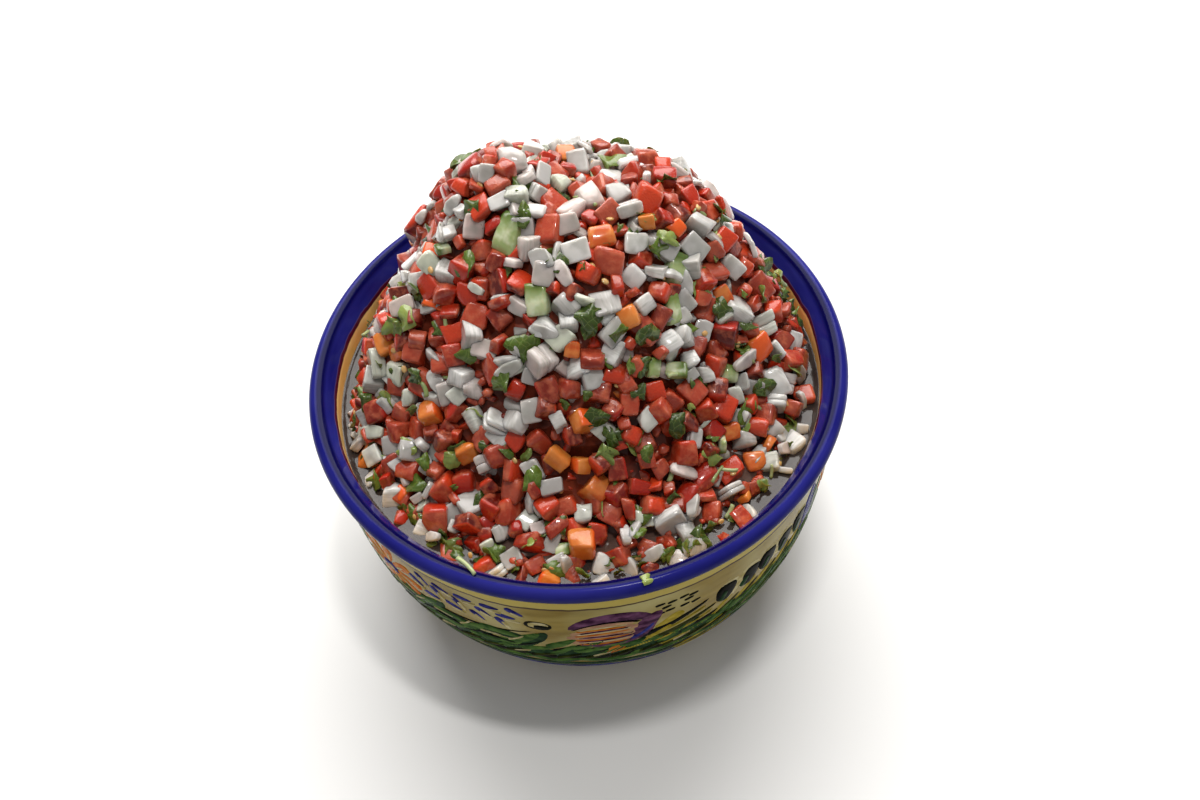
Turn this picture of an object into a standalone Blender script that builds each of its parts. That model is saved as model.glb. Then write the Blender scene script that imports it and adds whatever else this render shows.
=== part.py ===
"""Pico de gallo heaped in a round bowl of glazed and painted earthenware.

Metres, +Z up. The origin is under the middle of the bowl's foot, and the photo's viewer is at -Y.
Three pieces: the bowl, the juice that stands against its wall, and the heap of chopped
vegetables, which is a plain core with its outer layer of dice and leaves fused on.
"""
import math
import random

import bmesh
import bpy
from mathutils import Matrix, Vector

# Bowl
RIM_LEVEL = 0.080
RIM_CENTRE_RADIUS = 0.0822
RIM_ROLL = 0.0028
LIP_DROP = 0.0035
SHOULDER_RADIUS = 0.0822
BASE_RADIUS = 0.054
BASE_LEVEL = 0.004
SIDE_POWER = 2.17
SIDE_ROUNDNESS = 0.34
MOUTH_RADIUS = 0.077
FLOOR_RADIUS = 0.040
FLOOR_LEVEL = 0.010
FOOT_OUTER = 0.049
FOOT_INNER = 0.043
RECESS_LEVEL = 0.003
TURN_STEPS = 48

# Juice and the step in the heap that it stands on
JUICE_LEVEL = 0.069
LEDGE_LEVEL = 0.060
GAP = 0.0003

# Heap, with heights over the bowl's rim level
PEAK = Vector((0.0027, 0.0204))
PEAK_HEIGHT = 0.054
REACH_RADIUS = 0.075
BACK_EDGE = 0.006
SIDE_EDGE = -0.012
FRONT_EDGE = -0.009
FOOT_CENTRE = Vector((0.0, 0.002))
FOOT_RADIUS = 0.0675
CORE_DEPTH = 0.008
STEEP_FROM = (2.26, 2.44)
STEEP_TO = (2.85, 3.12)
STEEP_RADIUS = 0.0712
STEEP_SLOPE = 1.5
STEEP_FADE = 0.035
DOME_RINGS = 7
LUMPS = [
    (-0.020, 0.036, 0.011, 0.014),
    (0.015, 0.038, -0.007, 0.012),
    (0.036, 0.042, 0.003, 0.010),
    (-0.046, 0.030, -0.002, 0.014),
]

# Pieces of the outer layer: how far apart they start, and their edge lengths
LARGE_SPACING = 0.0108
LARGE_EDGES = (0.0078, 0.0098)
SMALL_SPACING = 0.0087
SMALL_EDGES = (0.0052, 0.0070)
PIECE_TRIES = 2600
PIECE_LEAN = 0.7
PIECE_LIFT = 0.0026
SLAB_THICKNESS = 0.55
LEAF_SPACING = 0.024
LEAF_LENGTH = 0.0105
LEAF_THICKNESS = 0.0008
LEAF_POINTS = 8
LEAF_TRIES = 400
LEAF_LEAN = 0.35
LEAF_LIFT = 0.0048
LEAF_WAVE = 0.0011
CLEARANCE = 0.0005
FREE_FRONT = 0.0685
SHIFT_STEP = 0.0008
SHIFT_TRIES = 6
SEED = 21


def smooth(low, high, value):
    part = min(max((value - low) / (high - low), 0.0), 1.0)
    return part * part * (3 - 2 * part)


def side_radius(level, top_radius, low_radius, low_level):
    """Radius of the bowl's round side, outside or inside, at a height."""
    depth = (RIM_LEVEL - level) / (RIM_LEVEL - low_level)
    drop = max(1 - depth ** SIDE_POWER, 0.0) ** SIDE_ROUNDNESS
    return low_radius + (top_radius - low_radius) * drop


def inner_radius(level):
    return side_radius(level, MOUTH_RADIUS, FLOOR_RADIUS, FLOOR_LEVEL)


def outer_radius(level):
    return side_radius(level, SHOULDER_RADIUS, BASE_RADIUS, BASE_LEVEL)


def steps(first, last, count):
    return [first + (last - first) * i / count for i in range(count + 1)]


def inner_profile():
    """The inside of the bowl from the middle of its floor up to the mouth."""
    levels = [FLOOR_LEVEL + 0.0002, 0.0125, 0.017, 0.026, 0.040, LEDGE_LEVEL, JUICE_LEVEL]
    return [(0.0, FLOOR_LEVEL)] + [(inner_radius(level), level) for level in levels]


def lip_angle():
    """Where on the rolled rim the slope that rises from the mouth runs into it."""
    out = RIM_CENTRE_RADIUS - MOUTH_RADIUS
    away = math.hypot(out, LIP_DROP)
    return math.pi / 2 + math.atan2(LIP_DROP, out) + math.asin(RIM_ROLL / away)


def bowl_profile():
    profile = inner_profile() + [(MOUTH_RADIUS, RIM_LEVEL - LIP_DROP)]
    for angle in steps(lip_angle(), 0.0, 6) + steps(0.0, -0.4 * math.pi, 3)[1:]:
        radius = RIM_CENTRE_RADIUS + RIM_ROLL * math.cos(angle)
        profile.append((radius, RIM_LEVEL + RIM_ROLL * math.sin(angle)))
    for level in (0.062, 0.045, 0.030, 0.018, 0.010, 0.006, BASE_LEVEL + 0.0003):
        profile.append((outer_radius(level), level))
    profile += [(FOOT_OUTER, BASE_LEVEL), (FOOT_OUTER, 0.0), (FOOT_INNER, 0.0)]
    profile += [(FOOT_INNER, RECESS_LEVEL), (0.0, RECESS_LEVEL)]
    return profile


def glaze(name, colour, roughness):
    material = bpy.data.materials.new(name)
    material.use_nodes = True
    shader = material.node_tree.nodes["Principled BSDF"]
    shader.inputs["Base Color"].default_value = (*colour, 1.0)
    shader.inputs["Roughness"].default_value = roughness
    shader.inputs["Metallic"].default_value = 0.0
    material.diffuse_color = (*colour, 1.0)
    return material


def add_object(name, mesh, collection, material=None):
    thing = bpy.data.objects.new(name, mesh)
    collection.objects.link(thing)
    if material:
        mesh.materials.append(material)
    return thing


def turned(name, profile, collection, material=None):
    """A profile in the XZ plane, turned round the Z axis."""
    mesh = bpy.data.meshes.new(name)
    shape = bmesh.new()
    points = [shape.verts.new((radius, 0.0, level)) for radius, level in profile]
    for first, second in zip(points, points[1:]):
        shape.edges.new((first, second))
    shape.to_mesh(mesh)
    shape.free()
    thing = add_object(name, mesh, collection, material)
    screw = thing.modifiers.new("Turn", "SCREW")
    screw.steps = TURN_STEPS
    screw.render_steps = TURN_STEPS
    screw.use_merge_vertices = True
    screw.merge_threshold = 0.00001
    screw.use_smooth_shade = True
    return thing


def apply_modifiers(thing):
    """Replaces an object's mesh by what its modifiers make of it."""
    bpy.context.view_layer.update()
    evaluated = thing.evaluated_get(bpy.context.evaluated_depsgraph_get())
    mesh = bpy.data.meshes.new_from_object(evaluated)
    thing.modifiers.clear()
    thing.data = mesh


def food_height(x, y):
    """Height of the food over the rim level, a dome that slumps to the front and is steeper back left."""
    away = Vector((x, y)) - PEAK
    distance = away.length
    if distance < 1e-6:
        return PEAK_HEIGHT
    way = away / distance
    along = way.dot(PEAK)
    reach = math.sqrt(along * along - PEAK.length_squared + REACH_RADIUS ** 2) - along
    part = min(distance / reach, 1.0)
    full = (1 - part ** 2.98) ** 0.72
    slumped = (1 + math.cos(math.pi * part ** 1.15)) / 2
    front = smooth(-0.1, 0.85, -way.y)
    edge = SIDE_EDGE + (BACK_EDGE - SIDE_EDGE) * smooth(0.3, 0.75, way.y)
    edge += (FRONT_EDGE - SIDE_EDGE) * front
    height = edge + (PEAK_HEIGHT - edge) * (full + (slumped - full) * front)
    for lump_x, lump_y, lump_height, width in LUMPS:
        square = ((x - lump_x) ** 2 + (y - lump_y) ** 2) / width ** 2
        height += lump_height * math.exp(-square)
    angle = math.atan2(y, x)
    steep = smooth(*STEEP_FROM, angle) * (1 - smooth(*STEEP_TO, angle))
    return min(height, (STEEP_RADIUS - math.hypot(x, y)) * STEEP_SLOPE + (1 - steep) * STEEP_FADE)


def core_level(x, y):
    return max(RIM_LEVEL + food_height(x, y) - CORE_DEPTH, JUICE_LEVEL + 0.001)


def dome_point(angle, part):
    """A point of the core's dome, from the peak at part 0 to its foot at part 1, then down its flank."""
    foot = FOOT_CENTRE + FOOT_RADIUS * Vector((math.cos(angle), math.sin(angle)))
    place = PEAK.lerp(foot, min(part, 1.0))
    level = core_level(place.x, place.y)
    if part > 1.0:
        level += (JUICE_LEVEL - level) * (part - 1.0) / 0.3
    return Vector((place.x, place.y, level))


def dome_normal(angle, part):
    if part > 1.0:
        return Vector((math.cos(angle), math.sin(angle), 0.25)).normalized()
    point = dome_point(angle, part)
    reach = 0.004
    slope_x = core_level(point.x + reach, point.y) - core_level(point.x - reach, point.y)
    slope_y = core_level(point.x, point.y + reach) - core_level(point.x, point.y - reach)
    return Vector((-slope_x, -slope_y, 2 * reach)).normalized()


def make_core(collection, material):
    """The heap's plain core, which fills the bowl, has a ledge under the juice, and rises to the dome."""
    parts = [i / DOME_RINGS for i in range(DOME_RINGS + 1)]
    profile = [(FOOT_RADIUS * part, PEAK_HEIGHT + RIM_LEVEL) for part in parts]
    profile.append((FOOT_RADIUS, LEDGE_LEVEL))
    wall = [point for point in inner_profile() if point[1] <= LEDGE_LEVEL]
    for radius, level in reversed(wall):
        profile.append((max(radius - GAP, 0.0), min(level + GAP, LEDGE_LEVEL)))
    core = turned("pico_de_gallo", profile, collection, material)
    apply_modifiers(core)
    for vertex in core.data.vertices:
        x, y, z = vertex.co
        radius = math.hypot(x, y)
        if z > LEDGE_LEVEL + GAP:
            vertex.co = dome_point(math.atan2(y, x), radius / FOOT_RADIUS)
        elif z > LEDGE_LEVEL - GAP and radius < FOOT_RADIUS + GAP:
            vertex.co = (x + FOOT_CENTRE.x, y + FOOT_CENTRE.y, z)
    return core


def too_close(point):
    """Whether a point would touch the bowl or the juice, or fill the free space at the front."""
    radius = math.hypot(point.x, point.y)
    from_foot = (Vector((point.x, point.y)) - FOOT_CENTRE).length
    if from_foot > FOOT_RADIUS - GAP and point.z < JUICE_LEVEL + CLEARANCE:
        return True
    if point.z < RIM_LEVEL and radius > inner_radius(point.z) - CLEARANCE:
        return True
    if math.hypot(radius - RIM_CENTRE_RADIUS, point.z - RIM_LEVEL) < RIM_ROLL + CLEARANCE:
        return True
    if radius > RIM_CENTRE_RADIUS and point.z < RIM_LEVEL + 2 * RIM_ROLL:
        return True
    in_front = point.y < -abs(point.x)
    return in_front and point.z < RIM_LEVEL + 2 * RIM_ROLL and radius > FREE_FRONT


def edge_points(corners):
    """Points along the edges and across the faces of a box, from its eight corners."""
    found = []
    for i in range(8):
        for j in range(i + 1, 8):
            for part in (0.0, 0.25, 0.5, 0.75, 1.0):
                found.append(corners[i].lerp(corners[j], part))
    return found


def settled(corners):
    """Shifts a piece up and towards the peak until it touches nothing, or gives it up."""
    middle = sum(corners, Vector()) / 8
    inward = (Vector((PEAK.x, PEAK.y, middle.z)) - middle).normalized()
    shift = (inward + Vector((0, 0, 0.6))) * SHIFT_STEP
    for _ in range(SHIFT_TRIES):
        if not any(too_close(point) for point in edge_points(corners)):
            return corners
        corners = [corner + shift for corner in corners]
    return None


def turn_to(normal, draw, tilt):
    """A random turn about the surface's normal, with a random lean."""
    base = normal.to_track_quat("Z", "Y").to_matrix()
    spin = Matrix.Rotation(draw.uniform(0, 2 * math.pi), 3, "Z")
    lean = Matrix.Rotation(draw.uniform(-tilt, tilt), 3, "X")
    return base @ spin @ lean


def dice_corners(centre, turn, edges, draw):
    """The eight corners of one hand-cut piece, none quite square."""
    corners = []
    for sx in (-0.5, 0.5):
        for sy in (-0.5, 0.5):
            for sz in (-0.5, 0.5):
                sides = [edge * draw.uniform(0.82, 1.06) for edge in edges]
                corner = Vector((sx * sides[0], sy * sides[1], sz * sides[2]))
                corners.append(centre + turn @ corner)
    return corners


def place_pieces():
    """Draws the outer layer's dice: large ones first, then small ones in the room left."""
    draw = random.Random(SEED)
    centres = []
    pieces = []
    rounds = ((LARGE_SPACING, LARGE_EDGES, 0.35), (SMALL_SPACING, SMALL_EDGES, 0.5))
    for spacing, (shortest, longest), slabs in rounds:
        for _ in range(PIECE_TRIES):
            angle = draw.uniform(0, 2 * math.pi)
            part = 1.25 * math.sqrt(draw.random())
            normal = dome_normal(angle, part)
            edges = [draw.uniform(shortest, longest) for _ in range(3)]
            if draw.random() < slabs:
                edges[2] *= SLAB_THICKNESS
            turn = turn_to(normal, draw, PIECE_LEAN)
            centre = dome_point(angle, part) + normal * draw.uniform(0.0, PIECE_LIFT)
            corners = dice_corners(centre, turn, edges, draw)
            if any((centre - other).length < spacing for other in centres):
                continue
            corners = settled(corners)
            if corners:
                centres.append(centre)
                pieces.append(corners)
    return pieces


def box_mesh(name, corners):
    """A cube whose corners are moved to the places of a piece's corners."""
    mesh = bpy.data.meshes.new(name)
    shape = bmesh.new()
    bmesh.ops.create_cube(shape, size=1.0)
    for vertex in shape.verts:
        index = 4 * (vertex.co.x > 0) + 2 * (vertex.co.y > 0) + (vertex.co.z > 0)
        vertex.co = corners[index]
    bmesh.ops.triangulate(shape, faces=shape.faces)
    shape.to_mesh(mesh)
    shape.free()
    return mesh


def leaf_mesh(name, centre, turn, draw):
    """A torn leaf: a lobed, wavy disc with the same triangles on both of its faces."""
    mesh = bpy.data.meshes.new(name)
    shape = bmesh.new()
    bmesh.ops.create_circle(shape, cap_ends=True, cap_tris=True, segments=LEAF_POINTS, radius=1.0)
    phase = draw.uniform(0, math.pi)
    for vertex in shape.verts:
        angle = math.atan2(vertex.co.y, vertex.co.x)
        radius = vertex.co.length * LEAF_LENGTH / 2 * (1 + 0.28 * math.cos(3 * angle + phase))
        wave = LEAF_WAVE * math.sin(2 * angle + phase) * vertex.co.length
        place = Vector((radius * math.cos(angle), 0.72 * radius * math.sin(angle), wave))
        vertex.co = centre + turn @ place
    grown = bmesh.ops.extrude_face_region(shape, geom=shape.faces[:], use_keep_orig=True)
    thick = turn @ Vector((0, 0, LEAF_THICKNESS))
    raised = [item for item in grown["geom"] if isinstance(item, bmesh.types.BMVert)]
    bmesh.ops.translate(shape, verts=raised, vec=thick)
    bmesh.ops.recalc_face_normals(shape, faces=shape.faces)
    bmesh.ops.triangulate(shape, faces=shape.faces)
    shape.to_mesh(mesh)
    shape.free()
    return mesh


def place_leaves(collection):
    """Torn coriander leaves, spread evenly over the dice and standing a little proud of them."""
    draw = random.Random(SEED + 1)
    centres = []
    for _ in range(LEAF_TRIES):
        angle = draw.uniform(0, 2 * math.pi)
        part = 0.97 * math.sqrt(draw.random())
        normal = dome_normal(angle, part)
        centre = dome_point(angle, part) + normal * LEAF_LIFT
        turn = turn_to(normal, draw, LEAF_LEAN)
        if any((centre - other).length < LEAF_SPACING for other in centres):
            continue
        rim = [centre + turn @ Vector((sx * 0.55, sy * 0.45, sz)) * LEAF_LENGTH
               for sx in (-1, 1) for sy in (-1, 1) for sz in (-0.15, 0.2)]
        if any(too_close(point) for point in edge_points(rim)):
            continue
        centres.append(centre)
        add_object("leaf", leaf_mesh("leaf", centre, turn, draw), collection)


def keep_largest_body(mesh):
    """Drops what isn't joined to the largest body, such as the walls of a sealed hollow."""
    shape = bmesh.new()
    shape.from_mesh(mesh)
    left = set(shape.verts)
    bodies = []
    while left:
        body = set()
        front = [left.pop()]
        while front:
            vertex = front.pop()
            body.add(vertex)
            for edge in vertex.link_edges:
                other = edge.other_vert(vertex)
                if other in left:
                    left.remove(other)
                    front.append(other)
        bodies.append(body)
    largest = max(bodies, key=len)
    loose = [vertex for body in bodies if body is not largest for vertex in body]
    bmesh.ops.delete(shape, geom=loose, context="VERTS")
    bmesh.ops.triangulate(shape, faces=shape.faces)
    shape.to_mesh(mesh)
    shape.free()


def make_heap(collection, loose, material):
    core = make_core(collection, material)
    for corners in place_pieces():
        add_object("piece", box_mesh("piece", corners), loose)
    place_leaves(loose)
    union = core.modifiers.new("Pieces", "BOOLEAN")
    union.operation = "UNION"
    union.operand_type = "COLLECTION"
    union.collection = loose
    union.solver = "MANIFOLD"
    apply_modifiers(core)
    for piece in list(loose.objects):
        bpy.data.objects.remove(piece)
    keep_largest_body(core.data)


def make_juice(collection, material):
    """The juice: a ring between the core's round foot and the bowl's wall, whose middles differ."""
    mesh = bpy.data.meshes.new("juice")
    shape = bmesh.new()
    loops = []
    low = LEDGE_LEVEL + GAP
    for level, wall in ((low, True), (JUICE_LEVEL, True), (JUICE_LEVEL, False), (low, False)):
        loop = []
        for i in range(TURN_STEPS):
            angle = 2 * math.pi * i / TURN_STEPS
            way = Vector((math.cos(angle), math.sin(angle)))
            place = (inner_radius(level) - GAP) * way
            if not wall:
                place = FOOT_CENTRE + (FOOT_RADIUS + GAP) * way
            loop.append(shape.verts.new((place.x, place.y, level)))
        loops.append(loop)
    for lower, upper in zip(loops, loops[1:] + loops[:1]):
        for i in range(TURN_STEPS):
            j = (i + 1) % TURN_STEPS
            shape.faces.new((lower[i], lower[j], upper[j], upper[i]))
    bmesh.ops.recalc_face_normals(shape, faces=shape.faces)
    shape.to_mesh(mesh)
    shape.free()
    add_object("juice", mesh, collection, material)


def main():
    for thing in list(bpy.data.objects):
        bpy.data.objects.remove(thing)
    parts = bpy.data.collections.new("Pico de gallo")
    loose = bpy.data.collections.new("Loose pieces")
    bpy.context.scene.collection.children.link(parts)
    bpy.context.scene.collection.children.link(loose)
    turned("bowl", bowl_profile(), parts, glaze("Cobalt and ochre glaze", (0.03, 0.02, 0.28), 0.12))
    make_juice(parts, glaze("Tomato and lime juice", (0.17, 0.11, 0.10), 0.08))
    make_heap(parts, loose, glaze("Chopped tomato, onion and chilli", (0.50, 0.12, 0.07), 0.35))
    bpy.data.collections.remove(loose)


main()
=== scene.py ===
"""Pico de gallo in its painted earthenware bowl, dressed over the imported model.

Metres, +Z up, the bowl's foot at the origin, and the viewer of the photo at -Y.
"""
import math
import random

import bmesh
import bpy
import numpy as np
from mathutils import Matrix, Vector


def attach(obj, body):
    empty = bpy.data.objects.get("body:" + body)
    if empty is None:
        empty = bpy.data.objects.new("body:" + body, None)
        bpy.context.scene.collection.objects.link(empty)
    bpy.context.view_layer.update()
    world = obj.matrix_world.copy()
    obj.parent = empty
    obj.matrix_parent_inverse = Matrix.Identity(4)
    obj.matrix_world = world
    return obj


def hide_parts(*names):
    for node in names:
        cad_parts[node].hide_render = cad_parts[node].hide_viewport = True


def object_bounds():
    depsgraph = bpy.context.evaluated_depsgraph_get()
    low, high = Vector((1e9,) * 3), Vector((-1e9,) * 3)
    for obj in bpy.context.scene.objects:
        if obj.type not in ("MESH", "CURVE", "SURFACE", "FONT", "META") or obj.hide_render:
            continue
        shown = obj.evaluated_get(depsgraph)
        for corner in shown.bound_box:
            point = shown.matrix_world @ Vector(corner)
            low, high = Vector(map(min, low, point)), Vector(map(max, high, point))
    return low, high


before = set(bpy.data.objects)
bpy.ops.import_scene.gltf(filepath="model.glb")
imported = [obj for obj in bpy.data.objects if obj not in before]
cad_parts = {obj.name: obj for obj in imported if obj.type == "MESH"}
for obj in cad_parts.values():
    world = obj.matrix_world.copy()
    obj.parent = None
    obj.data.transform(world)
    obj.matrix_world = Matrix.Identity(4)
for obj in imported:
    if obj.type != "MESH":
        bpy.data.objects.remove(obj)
cad_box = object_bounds()

# The camera
# It stands where the photo's did: 412 mm from the middle of the rim, 51 degrees above it, and
# leaning 7 degrees. The shift puts the rim where it is in the frame.

RIM_LEVEL = 0.080
VIEW_DISTANCE = 0.412
VIEW_ELEVATION = math.radians(50.98)
VIEW_LEAN = math.radians(6.88)
SENSOR = 36.0
FOCAL_PIXELS = 1300.0
FRAME_WIDTH = 1200.0
FRAME_MIDDLE = (600.0, 400.0)
RIM_CENTRE_PIXEL = (575.47, 362.76)

back = Vector((0.0, -math.cos(VIEW_ELEVATION), math.sin(VIEW_ELEVATION)))
lens = bpy.data.cameras.new("camera")
lens.sensor_width = SENSOR
lens.lens = SENSOR * FOCAL_PIXELS / FRAME_WIDTH
lens.shift_x = (FRAME_MIDDLE[0] - RIM_CENTRE_PIXEL[0]) / FRAME_WIDTH
lens.shift_y = (RIM_CENTRE_PIXEL[1] - FRAME_MIDDLE[1]) / FRAME_WIDTH
lens.clip_start = 0.01
camera = bpy.data.objects.new("camera", lens)
eye = Vector((0, 0, RIM_LEVEL)) + back * VIEW_DISTANCE
camera.location = eye
view_turn = back.to_track_quat("Z", "Y").to_matrix() @ Matrix.Rotation(-VIEW_LEAN, 3, "Z")
camera.rotation_euler = view_turn.to_euler()
bpy.context.scene.collection.objects.link(camera)
bpy.context.scene.camera = camera
bpy.context.scene.view_settings.view_transform = "Standard"

# The bowl
# One thrown bowl of earthenware with a rolled rim, which slopes down to the mouth, and a turned foot
# ring. It is dipped in tin glaze, ochre inside and olive outside, with cobalt over the whole rim.

RIM_CENTRE_RADIUS = 0.0822
RIM_ROLL = 0.0028
LIP_DROP = 0.0035
SHOULDER_RADIUS = 0.0822
BASE_RADIUS = 0.054
BASE_LEVEL = 0.004
SIDE_POWER = 2.17
SIDE_ROUNDNESS = 0.34
MOUTH_RADIUS = 0.077
FLOOR_RADIUS = 0.040
FLOOR_LEVEL = 0.010
FOOT_OUTER = 0.049
FOOT_INNER = 0.043
FOOT_CHAMFER = 0.0006
RECESS_LEVEL = 0.003
BOWL_TURNS = 192
INSIDE_LEVELS = (0.0102, 0.0106, 0.0112, 0.0125, 0.0145, 0.017, 0.021, 0.026, 0.033, 0.041, 0.05, 0.06,
                 0.068, 0.074)
OUTSIDE_LEVELS = (0.0768, 0.0755, 0.074, 0.071, 0.066, 0.06, 0.053, 0.045, 0.037, 0.030, 0.024, 0.0185,
                  0.014, 0.0105, 0.008, 0.0062, 0.005, 0.0043)
# Low and high edge of each dark line painted outside, and of the wide yellow band between the top two;
# the second line, just under the rim's roll, is partly painted shadow under its overhang
DARK_LINES_AND_RIM_SHADOW = ((0.0695, 0.0703), (0.0754, 0.0771), (0.0085, 0.0091), (0.0104, 0.0118))
YELLOW_BAND = (0.0704, 0.0757)
MAROON_LINE = (0.0758, 0.0775)
# Radii between which the top of the rolled rim is painted near black: painted shade where the glaze reflects
# little light
PAINTED_CREST_SHADE = (0.0799, 0.0822)
COBALT_INSIDE = 0.0773
COBALT_LOWER_OUTSIDE = 0.0002


def side_radius(level, top_radius, low_radius, low_level):
    depth = (RIM_LEVEL - level) / (RIM_LEVEL - low_level)
    drop = max(1 - depth ** SIDE_POWER, 0.0) ** SIDE_ROUNDNESS
    return low_radius + (top_radius - low_radius) * drop


def inner_radius(level):
    return side_radius(level, MOUTH_RADIUS, FLOOR_RADIUS, FLOOR_LEVEL)


def outer_radius(level):
    return side_radius(level, SHOULDER_RADIUS, BASE_RADIUS, BASE_LEVEL)


def steps(first, last, count):
    return [first + (last - first) * i / count for i in range(count + 1)]


def on_circle(angle, radius=1.0):
    return radius * Vector((math.cos(angle), math.sin(angle)))


def linked(name, mesh):
    piece = bpy.data.objects.new(name, mesh)
    bpy.context.scene.collection.objects.link(piece)
    return piece


def piece_from(shape, name):
    """Puts a bmesh in the scene as an object at the origin."""
    mesh = bpy.data.meshes.new(name)
    shape.to_mesh(mesh)
    shape.free()
    return linked(name, mesh)


def shaded(piece, look, body="root"):
    """Gives a piece its material and smooth faces, and lets it ride on the body."""
    piece.data.materials.append(look.material)
    piece.data.polygons.foreach_set("use_smooth", [True] * len(piece.data.polygons))
    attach(piece, body)
    return piece


def spun(profile, turns):
    """A profile of (radius, height) points spun round the bowl's axis into a closed skin."""
    shape = bmesh.new()
    points = [shape.verts.new((radius, 0.0, level)) for radius, level in profile]
    edges = [shape.edges.new(pair) for pair in zip(points, points[1:])]
    bmesh.ops.spin(shape, geom=points + edges, cent=(0, 0, 0), axis=(0, 0, 1), angle=2 * math.pi,
                   steps=turns, use_merge=True)
    bmesh.ops.remove_doubles(shape, verts=shape.verts, dist=0.000005)
    bmesh.ops.recalc_face_normals(shape, faces=shape.faces)
    return shape


def tone(code):
    """A colour in linear light from its usual six-digit code."""
    parts = [int(code[i:i + 2], 16) / 255 for i in (1, 3, 5)]
    return tuple(p / 12.92 if p < 0.04045 else ((p + 0.055) / 1.055) ** 2.4 for p in parts) + (1.0,)


class Look:
    """A material: constants set straight on its Principled shader, and short ways to add and join nodes."""

    def __init__(self, name, own_place=None, **constants):
        self.material = bpy.data.materials.new(name)
        self.material.use_nodes = True
        self.tree = self.material.node_tree
        self.shader = self.tree.nodes["Principled BSDF"]
        for key, value in constants.items():
            self.shader.inputs[key.replace("_", " ")].default_value = value
        if own_place:
            self.place = self.add("Attribute", attribute_name=own_place).outputs["Vector"]
        else:
            self.place = self.add("TexCoord").outputs["Object"]

    def feed(self, socket, value):
        """Gives a socket a number, a colour by its code, or another node's output."""
        if isinstance(value, bpy.types.NodeSocket):
            self.tree.links.new(value, socket)
        else:
            socket.default_value = tone(value) if isinstance(value, str) else value

    def add(self, kind, *values, **named):
        """Adds a node, fed in order of its sockets and by their names; lower-case names are its settings."""
        made = self.tree.nodes.new("ShaderNode" + kind)
        for name, value in named.items():
            if name[0].islower():
                setattr(made, name, value)
            else:
                self.feed(made.inputs[name], value)
        for socket, value in zip(made.inputs, values):
            self.feed(socket, value)
        return made

    def math(self, operation, *values):
        return self.add("Math", *values, operation=operation).outputs[0]

    def share(self, value, low, high, top=1.0, bottom=0.0, curve="LINEAR"):
        """Where a value lies between two limits, as a share from bottom to top."""
        return self.add("MapRange", value, low, high, bottom, top, interpolation_type=curve).outputs[0]

    def between(self, limits, value, soft):
        """1 where a value lies between two limits, falling off softly at both."""
        low, high = limits
        rise = self.share(value, low - soft, low + soft, curve="SMOOTHSTEP")
        fall = self.share(value, high - soft, high + soft, 0.0, 1.0, "SMOOTHSTEP")
        return self.math("MULTIPLY", rise, fall)

    def mix(self, share, first, second):
        made = self.add("Mix", share, data_type="RGBA")
        for socket, value in zip([s for s in made.inputs if s.type == "RGBA"], (first, second)):
            self.feed(socket, value)
        return next(s for s in made.outputs if s.type == "RGBA")

    def stretched(self, *scale):
        return self.add("Mapping", Vector=self.place, Scale=scale).outputs[0]

    def noise(self, scale, detail=2.0, place=None):
        return self.add("TexNoise", Vector=place or self.place, Scale=scale, Detail=detail).outputs[0]

    def colour(self, source):
        self.feed(self.shader.inputs["Base Color"], source)

    def bump(self, strength, distance, height):
        made = self.add("Bump", Strength=strength, Distance=distance, Height=height)
        self.feed(self.shader.inputs["Normal"], made.outputs[0])


def lip_angle():
    """Where on the rolled rim the slope that rises from the mouth runs into it."""
    out = RIM_CENTRE_RADIUS - MOUTH_RADIUS
    away = math.hypot(out, LIP_DROP)
    return math.pi / 2 + math.atan2(LIP_DROP, out) + math.asin(RIM_ROLL / away)


def bowl_profile():
    """Inside from the floor's middle, up the slope of the lip, over the rim, and down outside."""
    mouth = Vector((MOUTH_RADIUS, RIM_LEVEL - LIP_DROP))
    rim_centre = Vector((RIM_CENTRE_RADIUS, RIM_LEVEL))
    angles = steps(lip_angle(), 0.0, 24) + steps(0.0, -0.4 * math.pi, 12)[1:]
    roll = [rim_centre + on_circle(angle, RIM_ROLL) for angle in angles]
    profile = [(0.0, FLOOR_LEVEL), (0.022, FLOOR_LEVEL)]
    profile += [(inner_radius(level), level) for level in INSIDE_LEVELS]
    profile += [(mouth.x, mouth.y - 0.0006)] + [mouth.lerp(roll[0], part)[:] for part in (0.12, 0.5, 0.9)]
    profile += [point[:] for point in roll]
    profile += [(outer_radius(level), level) for level in OUTSIDE_LEVELS]
    profile += [(FOOT_OUTER + 0.0008, BASE_LEVEL), (FOOT_OUTER, 0.0032), (FOOT_OUTER, FOOT_CHAMFER)]
    profile += [(FOOT_OUTER - FOOT_CHAMFER, 0.0), (FOOT_INNER + FOOT_CHAMFER, 0.0)]
    profile += [(FOOT_INNER, FOOT_CHAMFER), (FOOT_INNER, RECESS_LEVEL - FOOT_CHAMFER)]
    return profile + [(FOOT_INNER - FOOT_CHAMFER, RECESS_LEVEL), (0.0, RECESS_LEVEL)]


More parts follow.
